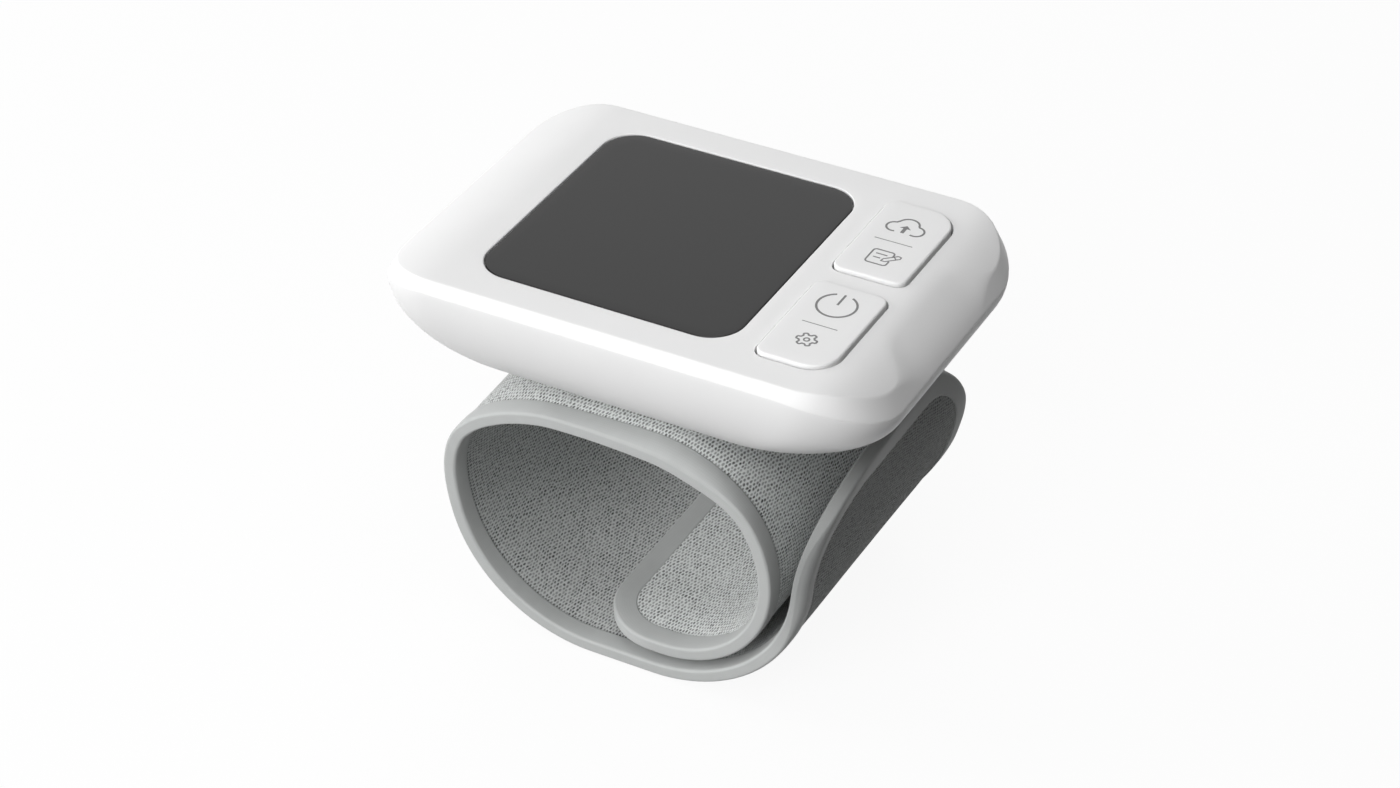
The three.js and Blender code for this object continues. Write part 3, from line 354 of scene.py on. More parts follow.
glassLook = Look(
    low=grey(0.0085), high=grey(0.0115), toneSlope=14.0, rough=0.24, spread=0.06, wipeTurn=(0.0, 0.0, 0.5),
    wipeScale=(120.0, 900.0, 1.0), uniform={"IOR": 1.49, "Specular IOR Level": 0.42})


# dark display window: nearly black under a hard face, a trace of tone across it and faint wipe marks
def displayGlass(look):
    place, feed = startFinish("window_dark_glass", look)
    marks = place.mapped(look.wipeScale, look.wipeTurn).noise(1.0, 3.0)
    tone = (place.part(1) * look.toneSlope + 0.5).clip()
    return feed(Base_Color=tone.blend(look.low, look.high),
                Roughness=(marks - 0.5) * look.spread + look.rough)


windowGlass = displayGlass(glassLook)


# the grey of the cuff, a trace green
def greenGrey(value):
    return grey(value, (0.975, 1.0, 0.99))


# the outer knit's pale tone before the fade is painted light, lifting the knit where the case above shades it
outerLook = Look(
    stitch=0.58, line=0.8, stagger=0.4, short=1.7, narrow=2.5, jitter=0.27, wander=0.4, spread=0.5,
    patchy=0.8, mottle=0.14, speck=0.26, pit=greenGrey(0.06), yarn=greenGrey(0.67), pale=greenGrey(0.9),
    fadeFrom=104.0, fadeRun=14.0, broadScale=0.3, closeScale=0.9, rough=0.92, smoother=0.14, bump=0.5,
    depth=0.00012, uniform={"Specular IOR Level": 0.25, "Sheen Weight": 0.1, "Sheen Roughness": 0.45})
# the flap knit's darker yarn after the fade is painted shade on the flap's outer face, which faces away from
# the lamps
flapShadeKnitLook = Look(outerLook, yarn=greenGrey(0.42), pale=outerLook.yarn, fadeFrom=226.0, fadeRun=21.0)
# the lining's pale tone before the fade is painted light on the tail and the start of the loop, where the
# lining is lit
liningLook = Look(
    outerLook, stagger=-0.4, yarn=greenGrey(0.61), pale=greenGrey(0.82), fadeFrom=62.0, fadeRun=36.0)


# knitted cloth on the band's own map, in millimetres: staggered lines of cells, each with a dark oval pit,
# moved and faded by chance and fainter in patches; the yarn drifts in place and tone, and steps along the
# band at a fade as painted light and shade
def knitCloth(name, look):
    place, feed = startFinish(name, look, clothMap)
    broad, close = place.noise(look.broadScale) - 0.5, place.noise(look.closeScale) - 0.5
    across = place.part(0) + close * look.wander
    along = place.part(1) + broad * (2.0 * look.wander)
    line = across / look.line
    whole = line.floor()
    a = line - whole - 0.5
    run = along / look.stitch + whole * look.stagger
    wholeRun = run.floor()
    b = run - wholeRun - 0.5
    cell = place.node("ShaderNodeCombineXYZ", {}, {0: wholeRun, 1: whole})
    chance = place.node("ShaderNodeTexWhiteNoise", {"noise_dimensions": "2D"}, {"Vector": cell}, "Color")
    offA, offB = ((chance.part(axis) - 0.5) * look.jitter for axis in (0, 1))
    oval = (1.0 - ((a + offA) * look.short) ** 2.0 - ((b + offB) * look.narrow) ** 2.0).clip()
    strength = chance.part(2) * look.spread + (1.0 - look.spread)
    pit = oval * strength * (broad * look.patchy + 1.0)
    tone = (1.0 - pit + broad * look.mottle + close * look.speck).clip()
    # painted light and shade along the band: the tone before the fade and the tone after it stand for lit and
    # shaded stretches
    fade = ((look.fadeFrom - along) / look.fadeRun).clip()
    yarn = fade.blend(look.yarn, look.pale)
    return feed(Base_Color=tone.blend(look.pit, yarn), Roughness=look.rough - tone * look.smoother,
                Normal=(1.0 - pit).bump(look.bump, look.depth))


outerKnit = knitCloth("outer_knit", outerLook)
flapShadeKnit = knitCloth("flap_knit_painted_shade", flapShadeKnitLook)
liningKnit = knitCloth("lining_knit", liningLook)

tapeLook = Look(
    rib=0.34, thread=0.4, ribShare=0.6, weaveShare=0.25, driftScale=0.35, low=greenGrey(0.44),
    high=greenGrey(0.5), length=180.0, fadeRun=20.0, deep=0.0, deepTone=greenGrey(0.2), rough=0.6,
    smoother=0.08, bump=0.18, depth=0.00004,
    uniform={"Specular IOR Level": 0.35, "Sheen Weight": 0.15, "Sheen Roughness": 0.4})


# woven tape: fine ribs and threads on its own map, a soft drift of tone, and painted shade that deepens away
# from its ends
def wovenTape(name, look):
    place, feed = startFinish(name, look, clothMap)
    girth, run = place.part(0), place.part(1)
    weave = run.wave(look.rib) * look.ribShare + girth.wave(look.thread) * (1 - look.ribShare)
    drift = place.noise(look.driftScale)
    tone = (weave * look.weaveShare + drift * (1 - look.weaveShare)).clip()
    fromEnd = place.math("MINIMUM", run, look.length - run)
    # painted shade: the tape's tone sinks towards a dark grey away from its ends
    deep = (fromEnd / look.fadeRun).clip() * look.deep
    low, high = (deep.blend(look[end], look.deepTone) for end in ("low", "high"))
    return feed(Base_Color=tone.blend(low, high), Roughness=look.rough - weave * look.smoother,
                Normal=weave.bump(look.bump, look.depth))


tapeGrey = wovenTape("edge_tape", tapeLook)

hookClothLook = Look(
    pitch=0.9, narrow=7.0, low=grey(0.16), high=grey(0.36), rough=0.62, smoother=0.2, bump=0.8, depth=0.0003,
    uniform={"Specular IOR Level": 0.4})


# hook fastener: rows of tiny stiff hooks as dots on its own map
def hookCloth(look):
    place, feed = startFinish("hook_fastener", look, clothMap)
    a, b = (place.part(axis) / look.pitch for axis in (0, 1))
    da, db = a - a.floor() - 0.5, b - b.floor() - 0.5
    dot = (1.0 - (da ** 2.0 + db ** 2.0) * look.narrow).clip()
    return feed(Base_Color=dot.blend(look.low, look.high), Roughness=look.rough - dot * look.smoother,
                Normal=dot.bump(look.bump, look.depth))


hookGrey = hookCloth(hookClothLook)

steelLook = Look(
    streak=(300.0, 3000.0, 3000.0), low=grey(0.5), high=grey(0.66), rough=0.22, spread=0.25,
    uniform={"Metallic": 1.0})


# drawn or rolled metal: bright, with streaks along one direction
def brushedMetal(name, look):
    place, feed = startFinish(name, look)
    streak = place.mapped(look.streak).noise(1.0, 3.0)
    return feed(Base_Color=streak.blend(look.low, look.high),
                Roughness=streak * look.spread + look.rough)


steel = brushedMetal("bright_steel", steelLook)

boardLook = Look(
    lanes=(700.0, 500.0), width=0.02, scale=260.0, laneFrom=0.52, crossTo=0.46, rough=0.42, smoother=0.1,
    mask=(0.01, 0.09, 0.035, 1.0), copper=(0.03, 0.2, 0.08, 1.0), bump=0.3, depth=0.00003,
    uniform={"Specular IOR Level": 0.5})


# circuit board: green mask with paler tracks on a grid, thinned by noise
def circuitBoard(look):
    place, feed = startFinish("board_green", look)
    x, y = (place.part(axis) * look.lanes[axis] for axis in (0, 1))
    lane, cross = (((v - v.floor() - 0.5) ** 2.0).under(look.width) for v in (x, y))
    where = place.noise(look.scale, 1.0)
    track = place.math("MAXIMUM", lane * where.over(look.laneFrom), cross * where.under(look.crossTo))
    return feed(Base_Color=track.blend(look.mask, look.copper),
                Roughness=look.rough - track * look.smoother, Normal=track.bump(look.bump, look.depth))


boardGreen = circuitBoard(boardLook)

sleeveLook = Look(
    dark=(0.03, 0.035, 0.04, 1.0), pale=(0.32, 0.3, 0.26, 1.0), bandFrom=0.006, scale=900.0, rough=0.26,
    spread=0.12, uniform={"Specular IOR Level": 0.5, "Coat Weight": 0.3})


# printed cell sleeve: plain dark band at one end, paler band at the other, along the cell
def cellSleeve(look):
    place, feed = startFinish("cell_sleeve", look)
    band = place.part(0).over(look.bandFrom)
    return feed(Base_Color=band.blend(look.dark, look.pale),
                Roughness=place.noise(look.scale) * look.spread + look.rough)


sleeve = cellSleeve(sleeveLook)
print("materials made:", len(bpy.data.materials))


caseLook = Look(
    left=-38.0, right=48.5, half=31.0, leftCorner=12.0, rightCorner=13.4, bevel=1.55, wall=1.6, depth=19.0,
    lid=2.0, topRun=11.2, topLeft=2.8, topRight=4.6, topPower=2.5, seamRun=15.1, seamLeft=3.5, seamRight=5.1,
    topEase=0.22, rimEase=0.08, seamGap=0.03, meltEase=5.0, meltShare=0.93, meltFrom=17.5, meltRun=8.5,
    endReach=0.01, firstShare=0.1, lastShare=0.95, rows=(0.33, 0.67), innerStep=0.3, hullEase=0.16,
    hullEaseShare=0.06)
floorLook = Look(left=-17.5, right=21.0, half=18.5, corner=10.0)


# how far a level falls at the two ends of the case: a power of the way from where each end starts to roll
def fall(x, leftDrop, rightRun, rightDrop, power=2.0):
    c = caseLook
    left = np.clip((c.left + c.leftCorner - x) / c.leftCorner, 0, 1)
    right = np.clip((x - c.right + rightRun) / rightRun, 0, 1)
    return -leftDrop * left ** 2 - rightDrop * right ** power


# level of the lid's face
def topHeight(x):
    return fall(x, caseLook.topLeft, caseLook.topRun, caseLook.topRight, caseLook.topPower)


# level of the seam: a longer fall at the right, lower than the face by the bevel
def seamHeight(x):
    return fall(x, caseLook.seamLeft, caseLook.seamRun, caseLook.seamRight) - caseLook.bevel


# the case's outline, drawn in by an inset
def caseRing(inset):
    c = caseLook
    radii = [c.leftCorner, c.rightCorner, c.rightCorner, c.leftCorner]
    return roundRect(c.left, c.right, -c.half, c.half, radii, -inset)


# outline of the hull's flat floor, drawn in the same way
def floorRing(inset):
    f = floorLook
    return roundRect(f.left, f.right, -f.half, f.half, [f.corner] * 4, -inset)


windowLook = Look(
    length=44.0, width=46.8, corner=5.5, thick=1.0, sink=0.1, gap=0.22, ledge=2.0, bed=0.05, ease=0.16,
    lip=0.22)
buttonLook = Look(
    left=26.4, length=12.2, width=21.6, spacing=4.2, proud=0.6, skirt=2.5, small=1.8, large=4.8, gap=0.34,
    ease=0.34, lip=0.1)


# the window's outline, grown by a gap or drawn in
def windowRing(grow):
    x, y = windowLook.length / 2, windowLook.width / 2
    return roundRect(-x, x, -y, y, [windowLook.corner] * 4, grow, arc=16, side=20)


# each button has its large corner at the case's own corner
def buttonRing(side, grow):
    b = buttonLook
    y = sorted((side * b.spacing / 2, side * (b.spacing / 2 + b.width)))
    radii = [b.small, b.large, b.small, b.small] if side < 0 else [b.small, b.small, b.large, b.small]
    return roundRect(b.left, b.left + b.length, *y, radii, grow, arc=12, side=14)


# lid: a face rolled down at both ends, an eased edge that melts away at the right end, a sloping band to the
# seam, a turned-under rim, the same face below, a window pocket with a ledge, and the buttons' holes
def makeLid():
    c, w, b = caseLook, windowLook, buttonLook
    faceEdge, rimRing = raised(caseRing(c.bevel), topHeight), raised(caseRing(0), seamHeight)
    atEnd = rimRing[:, 0] > c.right - c.endReach
    melt = np.where(atEnd, smooth((c.meltFrom - np.abs(rimRing[:, 1])) / c.meltRun), 0.0)[:, None]
    faceRing = caseRing(c.bevel + c.topEase) * (1 - melt) + caseRing(c.bevel + c.meltEase) * melt
    along = lambda share: faceEdge + share * (rimRing - faceEdge)
    firstShare = c.firstShare + (c.meltShare - c.firstShare) * melt
    bandRows = [along(firstShare + (c.lastShare - firstShare) * share) for share in c.rows]
    turned, inner = (raised(caseRing(inset), seamHeight) for inset in (c.rimEase, c.wall))
    lowOuter = caseRing(c.wall + c.innerStep)
    outside = strip([*easedCorner(raised(faceRing, topHeight), faceEdge, along(firstShare), steps=10),
                     *bandRows, *easedCorner(along(c.lastShare), rimRing, turned, steps=4), inner,
                     raised(lowOuter, topHeight, c.lid)])
    pocket = w.thick + w.sink + w.bed
    mouth, wall, ledge = (windowRing(grow) for grow in (w.gap + w.lip, w.gap, -w.ledge))
    windowWall = [*easedWall(mouth, wall, 0.0, w.lip, steps=5, drops=[pocket]), raised(ledge, -pocket),
                  raised(ledge, -c.lid)]
    parts, topHoles, lowHoles = [outside, strip(windowWall)], [mouth], [ledge]
    for side in (-1, 1):
        mouth, wall = buttonRing(side, b.gap + b.lip), buttonRing(side, b.gap)
        parts.append(strip(easedWall(mouth, wall, topHeight, b.lip, steps=4, drops=[c.lid])))
        topHoles.append(mouth)
        lowHoles.append(wall)
    parts.append(patch(faceRing, topHoles, topHeight, spacing=1.5))
    parts.append(patch(lowOuter, lowHoles, topHeight, spacing=2.5, drop=c.lid))
    return putOnCase("lid", parts, shellWhite)


# hull: from the seam the wall turns in on a quarter of an ellipse to a flat floor; the same again inside it
def hullRings(inset, steps):
    c = caseLook
    rim, low = caseRing(inset), floorRing(inset)
    seam = (seamHeight(caseRing(0)[:, 0]) - c.seamGap)[None, :, None]
    a = np.linspace(0, math.pi / 2, steps + 1)[:, None, None]
    plan = rim + (low - rim) * (1 - np.cos(a))
    z = seam + (inset - c.depth - seam) * np.sin(a)
    return list(np.concatenate([plan, z], axis=2))


# closed hull: inner rings upwards, an eased rim, outer rings downwards, and a floor on each side
def hullShell(name):
    c = caseLook
    outer, inner = hullRings(0, steps=30), hullRings(c.wall, steps=16)
    rimEdge = easedCorner(raised(caseRing(c.hullEase), seamHeight, c.seamGap), outer[0],
                          outer[0] + c.hullEaseShare * (outer[3] - outer[0]), steps=3)
    return putOnCase(name, [strip([*inner[::-1], *rimEdge, *outer[1:]]),
                            patch(floorRing(0), [], -c.depth, spacing=3.0),
                            patch(floorRing(c.wall), [], c.wall - c.depth, spacing=4.0)], shellWhite)


# prism to carve the case with
def cutter(ring, low, high):
    points, faces = prism(ring, low, high)
    return putDown("tool", points + caseShift, faces, shellWhite)


# the same on a rectangle
def block(x0, x1, y0, y1, low, high):
    return cutter(np.array([[x0, y0], [x1, y0], [x1, y1], [x0, y1]]), low, high)


# outside and below are well clear of the case
doorLook = Look(
    half=12.4, top=7.2, edge=23.4, gap=0.18, outside=-80.0, below=-40.0, tongue=(9.65, 10.65),
    tongueStart=-35.2, tongueThick=1.0, reach=5.0)
screwLook = Look(places=[(-27.0, 17.0), (-27.0, -17.0), (41.0, 7.0), (41.0, -7.0)], bore=2.2, depth=12.0)


# the hull less the door's block and the bores of the screws
def makeHull():
    d = doorLook
    hull = hullShell("hull")
    carve(hull, block(d.outside, -d.edge, -d.half, d.half, d.below, -d.top), "DIFFERENCE")
    for place in screwLook.places:
        carve(hull, cutter(circle(place, screwLook.bore, count=32), d.below, -screwLook.depth), "DIFFERENCE")
    return dress(hull, shellWhite, caseSharp)


# battery door: the part of the hull inside the door's block, and two tongues that run in the bay
def makeDoor():
    d = doorLook
    door = hullShell("battery_door_cover")
    half, edge, top = d.half - d.gap, -d.edge - d.gap, -d.top - d.gap
    carve(door, block(d.outside, edge, -half, half, d.below, top), "INTERSECT")
    for side in (-1, 1):
        y = sorted(side * place for place in d.tongue)
        carve(door, block(d.tongueStart, d.reach - d.edge, *y, top - d.tongueThick, top), "UNION")
    return dress(door, shellWhite, caseSharp)


# angles are in degrees round the hull's turn-in, from the seam
gripLook = Look(
    first=24.0, step=5.4, count=5, reach=1.5, half=6.0, rise=0.28, sink=0.05, bed=0.04, root=0.3,
    fadeRun=1.2, rows=17, columns=9)


# grip ribs on the door: low rounded bars that follow the hull, each a half-sine in section along the turn-in
def makeGrips():
    g, c = gripLook, caseLook
    y = np.linspace(-g.half, g.half, g.rows)[:, None]
    section = np.linspace(-1, 1, g.columns)
    turn = np.radians((g.first + g.step * np.arange(g.count))[:, None] + g.reach * section)
    rise = g.rise * np.sin((section + 1) * math.pi / 2) - g.sink
    seam = seamHeight(np.array([c.left]))[0] - c.seamGap
    reach, drop = floorLook.left - c.left, -c.depth - seam
    normal = np.stack([drop * np.cos(turn), -reach * np.sin(turn)], axis=-1)
    normal /= np.linalg.norm(normal, axis=-1, keepdims=True)
    fade = np.clip((g.half - np.abs(y)) / g.fadeRun, 0, 1) ** 0.5
    lift = rise * fade - g.bed

    def bar(k, height):
        x = c.left + reach * (1 - np.cos(turn[k])) + normal[k, :, 0] * height
        z = seam + drop * np.sin(turn[k]) + normal[k, :, 1] * height
        return np.stack(np.broadcast_arrays(x, y, z), axis=-1)

    parts = [slab(bar(k, lift), bar(k, -g.root)) for k in range(g.count)]
    return putOnCase("door_grip_ribs", parts, shellWhite, sharp=50.0)


# plate with an outline, an eased top edge and a flat underside
def cappedPlate(name, ring, top, low, ease, finish):
    face, edge = ring(-ease), ring(0)
    walls = strip(easedWall(face, edge, top, ease, steps=6, drops=[(top - low) / 2, top - low]))
    faces = [patch(face, [], top, spacing=2.0), patch(edge, [], low, spacing=4.0)]
    return putOnCase(name, [walls, *faces], finish)


lid = makeLid()
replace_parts(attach(lid, "monitor"), "top_cover")
hull = makeHull()
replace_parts(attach(hull, "monitor"), "bottom_cover")
door = makeDoor()
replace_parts(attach(door, "battery_door"), "battery_door")
grips = makeGrips()
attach(grips, "battery_door")
glass = cappedPlate("window_pane", windowRing, -windowLook.sink, -windowLook.thick - windowLook.sink,
                    windowLook.ease, windowGlass)
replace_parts(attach(glass, "monitor"), "display_window")
for side, name in ((-1, "lower_button"), (1, "upper_button")):
    cap = cappedPlate(name + "_cap", lambda grow, s=side: buttonRing(s, grow), buttonLook.proud,
                      -buttonLook.skirt, buttonLook.ease, capWhite)
    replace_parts(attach(cap, name), name)
print("case made:", sum(len(piece.data.polygons) for piece in (lid, hull, door, glass)), "faces and two caps")

bayLook = Look(half=10.95, wall=1.0, start=-23.3, end=28.2, floor=-17.38, height=9.0)


# battery bay: two side walls and an end wall standing on the hull's floor, a U carried up from the floor
def makeBay():
    b = bayLook
    start, end, out, half = b.start, b.end, b.half + b.wall, b.half
    back = end - b.wall
    plan = np.array([[start, -out], [end, -out], [end, out], [start, out],
                     [start, half], [back, half], [back, -half], [start, -half]])
    points, faces = prism(plan, b.floor, b.floor + b.height, [[0, 1, 6, 7], [1, 2, 5, 6], [2, 3, 4, 5]])
    return putDown("battery_bay", points + caseShift, faces, innerPlastic)


bay = makeBay()
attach(bay, "monitor")


# symbols printed on the buttons, with the width of each stroke
inkLook = Look(
    level=0.6, rise=0.018, sunk=0.05, line=0.34, sheet=0.28, pencil=0.23, cross=0.2, text=0.25, ring=0.37,
    tooth=0.31, hole=0.27, thin=0.16)
inkTop, inkLow = inkLook.level + inkLook.rise, inkLook.level - inkLook.sunk


# flat ribbon with square section carried along a line of points in the plane of the caps
def inkLine(line, stroke, closed=False):
    ahead = (np.roll(line, -1, axis=0) - np.roll(line, 1, axis=0)) if closed else np.gradient(line, axis=0)
    ahead /= np.linalg.norm(ahead, axis=1, keepdims=True)
    across = np.column_stack([-ahead[:, 1], ahead[:, 0]]) * inkLook[stroke] / 2
    left, right = line + across, line - across
    corners = ((left, inkTop), (right, inkTop), (right, inkLow), (left, inkLow))
    rows = np.stack([raised(*corner) for corner in corners], axis=1)
    faces = [gridQuads(len(line), 4, closeRows=closed, closeCols=True)]
    if not closed:
        faces += [np.array([[0, 1, 2, 3]]), np.array([[3, 2, 1, 0]]) + 4 * (len(line) - 1)]
    return rows.reshape(-1, 3), faces


# upload: a cloud of three arcs left open below, and an arrow pointing up in the opening
cloudLook = Look(
    left=((30.42, 16.62), 1.3, 292, 97), crown=((32.25, 17.85), 1.72, 158, 12),
    right=((34.05, 16.65), 1.32, 88, -112), tip=(32.2, 17.55), head=0.95, headLength=0.85, neck=0.3,
    foot=15.35)


def uploadMark():
    k = cloudLook
    outline = np.concatenate([arcLine(*k[part]) for part in ("left", "crown", "right")])
    x, y = k.tip
    head, neck, back, foot = k.head, k.neck, y - k.headLength, k.foot
    arrow = [(x, y), (x - head, back), (x - neck, back), (x - neck, foot), (x + neck, foot), (x + neck, back),
             (x + head, back)]
    return [inkLine(outline, "line"), prism(np.array(arrow), inkLow, inkTop)]


# notes: a sheet with eased corners, open where a slanted pencil crosses its right side, and two lines on it
notesLook = Look(
    left=30.42, right=33.95, low=5.65, high=9.55, corner=0.55, opening=(7.05, 8.45), tip=(32.7, 6.75),
    end=(35.0, 8.8), pencil=0.42, point=0.55, shoulder=0.1, butt=0.25, band=0.75,
    texts=[((31.15, 8.45), (33.05, 8.45)), ((31.15, 7.35), (32.35, 7.35))])


def notesMark():
    k, r = notesLook, notesLook.corner
    left, right, low, high = k.left + r, k.right - r, k.low + r, k.high - r
    turns = [((right, low), 0), ((left, low), -90), ((left, high), 180), ((right, high), 90)]
    openLow, openHigh = ((k.right, level) for level in k.opening)
    sheet = np.concatenate([straight(openLow, (k.right, low))[:-1],
                            *[arcLine(centre, r, start, start - 90, count=8) for centre, start in turns],
                            straight((k.right, high), openHigh)[1:]])
    tip, end = np.array(k.tip), np.array(k.end)
    run = (end - tip) / np.linalg.norm(end - tip)
    side = np.array([-run[1], run[0]]) * k.pencil
    neck, shoulder, band = tip + k.point * run, end - k.shoulder * run, end - k.band * run
    barrel = straight(neck + side, shoulder + side, end + k.butt * run, shoulder - side, neck - side, tip,
                      neck + side)[:-1]
    return [inkLine(sheet, "sheet"), inkLine(barrel, "pencil", True),
            inkLine(straight(band + side, band - side), "cross"),
            *[inkLine(straight(*ends), "text") for ends in k.texts]]


# power: a ring open at the top with a stroke standing in the opening
powerLook = Look(centre=(32.25, -7.5), radius=3.1, open=(65, -245), stroke=(-7.3, -4.35))


def powerMark():
    k = powerLook
    stroke = straight(*[(k.centre[0], y) for y in k.stroke])
    return [inkLine(arcLine(k.centre, k.radius, *k.open, count=72), "ring"), inkLine(stroke, "ring")]


# settings: a gear, its radius a flattened cosine round the middle, and a small ring
gearLook = Look(centre=(32.25, -17.64), radius=1.4, tooth=0.24, teeth=6, flat=2.6, hole=0.42)


def settingsMark(count=144):
    k = gearLook
    wave = np.cos(k.teeth * np.arange(count) * 2 * math.pi / count)
    radius = k.radius + k.tooth * np.tanh(k.flat * wave) / np.tanh(k.flat)
    return [inkLine(circle(k.centre, radius, count), "tooth", True),
            inkLine(circle(k.centre, k.hole, count=36), "hole", True)]


# a line between the two halves of each button
dividerLook = Look(upper=((29.0, 12.42), (35.4, 12.42)), lower=((29.38, -13.38), (35.2, -13.38)))


def dividerMark(button):
    return [inkLine(straight(*dividerLook[button]), "thin")]


# the parts of one symbol as a piece that moves with its button
def putMarks(name, body, parts):
    points, faces = joined(parts)
    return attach(putDown(name, points + caseShift, faces, inkGrey, sharp=30.0), body)


putMarks("upload_mark", "upper_button", uploadMark())
putMarks("notes_mark", "upper_button", notesMark())
putMarks("upper_divider", "upper_button", dividerMark("upper"))
putMarks("power_mark", "lower_button", powerMark())
putMarks("settings_mark", "lower_button", settingsMark())
putMarks("lower_divider", "lower_button", dividerMark("lower"))
print("symbols made")


# runs are (radius, degrees) or, where byLength names them, (length, degrees); rest is the flat it stands on
bandLook = Look(
    runs=[(13.6, 0.0), (19.5, 90.0), (21.6, 90.0), (16.6, 0.0), (26.4, 30.0), (10.0, 30.0), (24.4056, 30.0),
          (26.2, 90.0), (11.0, 0.0), (26.8772, 84.0), (18.5, -12.4)],
    byLength=(0, 3, 8, 10), rest=8, restMiddle=5.5, half=26.6, thick=2.4, tailHinge=13.6, flapHinge=218.15,
    tailEnd=26.0, flapStart=205.0)


# place and heading after a distance on a straight or an arc: its chord lies halfway between the headings
def onward(x, z, heading, bend, distance):
    half = bend * distance / 2
    chord = distance * np.sinc(half / math.pi)
    return x + chord * np.cos(heading + half), z + chord * np.sin(heading + half), heading + 2 * half


# the band's outer face in the X-Z plane: straights and arcs, each starting where the last ended, with the
# middle of the rest flat at the origin
def layBand():
    starts, s, here = [], 0.0, (0.0, 0.0, 0.0)
    for k, (size, degrees) in enumerate(bandLook.runs):
        turn = math.radians(degrees)
        length = size if k in bandLook.byLength else size * turn
        starts.append((s, *here, turn / length))
        s, here = s + length, onward(*here, turn / length, length)
    made = np.array(starts)
    made[:, 1] -= made[bandLook.rest, 1] + bandLook.restMiddle
    made[:, 2] -= made[bandLook.rest, 2]
    return made, s


bandRuns, bandEnd = layBand()


# place and heading of the outer face at distances along it
def alongBand(s):
    k = np.clip(np.searchsorted(bandRuns[:, 0], s, side="right") - 1, 0, len(bandRuns) - 1)
    start, *run = bandRuns[k].T
    return onward(*run, s - start)


flapLook = Look(
    corner=16.0, bow=2.5, bowStart=204.0, bowRun=40.0, curl=3.2, curlStart=226.0, curlRun=11.0, curlMost=1.3,
    backPower=1.6)
tailLook = Look(corner=11.0, tip=0.7, wide=3.85)
# middle along the band, run before and after it, how far in, and how close to the front edge it stays
sagLook = [(104.0, 26.0, 13.0, 1.4, 5), (71.0, 15.0, 27.0, 1.9, 26), (121.0, 8.0, 12.0, -0.55, 8),
           (112.0, 8.0, 6.0, 0.6, 3)]


# how far the flap stands off its path: its back edge bows out on a squared sine, its tip curls in on a square
def flapBow(s, y):
    k, half = flapLook, bandLook.half
    bow = k.bow * np.sin(math.pi * np.clip((s - k.bowStart) / k.bowRun, 0, 1)) ** 2
    curl = k.curl * np.clip((s - k.curlStart) / k.curlRun, 0, k.curlMost) ** 2
    return (bow - curl) * np.clip((y + half) / (2 * half), 0, 1) ** k.backPower


# how far the front edge sinks in: squared cosines along the band, each fading away from the edge by a power
def edgeSag(s, y):
    front = np.clip((bandLook.half - y) / (2 * bandLook.half), 0, 1)
    sag = 0 * s
    for middle, before, after, depth, power in sagLook:
        u = (s - middle) / np.where(s < middle, before, after)
        sag = sag + depth * np.cos(np.clip(u, -1, 1) * math.pi / 2) ** 2 * front ** power
    return sag


# a point of the band: distance along it, place across it, depth in from its outer face
def onBand(s, y, depth):
    s, y, depth = np.broadcast_arrays(*[np.asarray(v, float) for v in (s, y, depth)])
    px, pz, turned = (v.reshape(s.shape) for v in alongBand(s.ravel()))
    d = depth + edgeSag(s, y) - flapBow(s, y)
    return np.stack([px - d * np.sin(turned), y, pz + d * np.cos(turned)], axis=-1)


# half width of a layer at a distance from its tip: full, but rounded off on a circle at the tip
def halfAt(fromTip, half, corner):
    e = np.clip(fromTip, 0, corner)
    return half - corner + np.sqrt(np.maximum(corner ** 2 - (corner - e) ** 2, 0))


puckerLook = Look(share=0.16, run=1.35, sway=1.7, swayRun=4.1, power=14, dipPower=9)


# one layer of the band as a closed slab, pressed in towards its edges by edgeDip, puckered on a swaying sine
def bandLayer(name, s, half, top, low, finish, edgeDip=0.0, columns=57):
    p = puckerLook
    q = np.sin(np.linspace(-1, 1, columns) * math.pi / 2)
    y = q * half[:, None]
    along = np.repeat(s[:, None], columns, 1)
    sway = p.sway * np.sin(along / p.swayRun)
    pucker = p.share * np.sin(along / p.run + sway) * np.abs(q) ** p.power
    dip = edgeDip * (np.abs(q) ** p.dipPower + pucker)
    upper, lower = onBand(along, y, top + dip * (edgeDip > 0)), onBand(along, y, low + dip * (edgeDip < 0))
    uv = np.tile(np.column_stack([y.ravel(), along.ravel()]), (2, 1))
    return putDown(name, *slab(upper, lower), finish, uv, sharp=60.0)


edgeLook = Look(wide=3.5, nose=0.45, lip=0.3, proud=0.03, thin=0.14, thinRun=2.0, pareRun=1.4)


# edge tape: a flat section folded over the band's edge, thinner towards its round nose, carried along a line;
# pare thins the nose from its outer face, by a share at each point of the line
def edgeTape(name, edge, inward, finish, look=edgeLook, pare=0.0):
    k, low, middle = look, bandLook.thick + look.proud, bandLook.thick / 2
    section = roundRect(0.0, k.wide, -k.proud, low, [k.nose, k.lip, k.lip, k.nose], arc=8, side=5)
    w = section[:, 0]
    squeeze = 1 - k.thin * np.clip(1 - w / k.thinRun, 0, 1) ** 2
    section[:, 1] = middle + (section[:, 1] - middle) * squeeze
    pared = np.broadcast_to(pare, len(edge))[:, None] * np.clip(1 - w / k.pareRun, 0, 1) ** 2
    d = low + (section[:, 1] - low) * (1 - pared)
    s, y = edge[:, :1] + w * inward[:, :1], edge[:, 1:] + w * inward[:, 1:]
    rows, cols = len(edge), len(section)
    uv = np.column_stack([np.tile(runAlong(section), rows), np.repeat(runAlong(edge), cols)])
    ends = np.arange(cols)[None]
    faces = [gridQuads(rows, cols, closeCols=True), ends[:, ::-1], ends + (rows - 1) * cols]
    return putDown(name, onBand(s, y, d).reshape(-1, 3), faces, finish, uv, sharp=50.0)


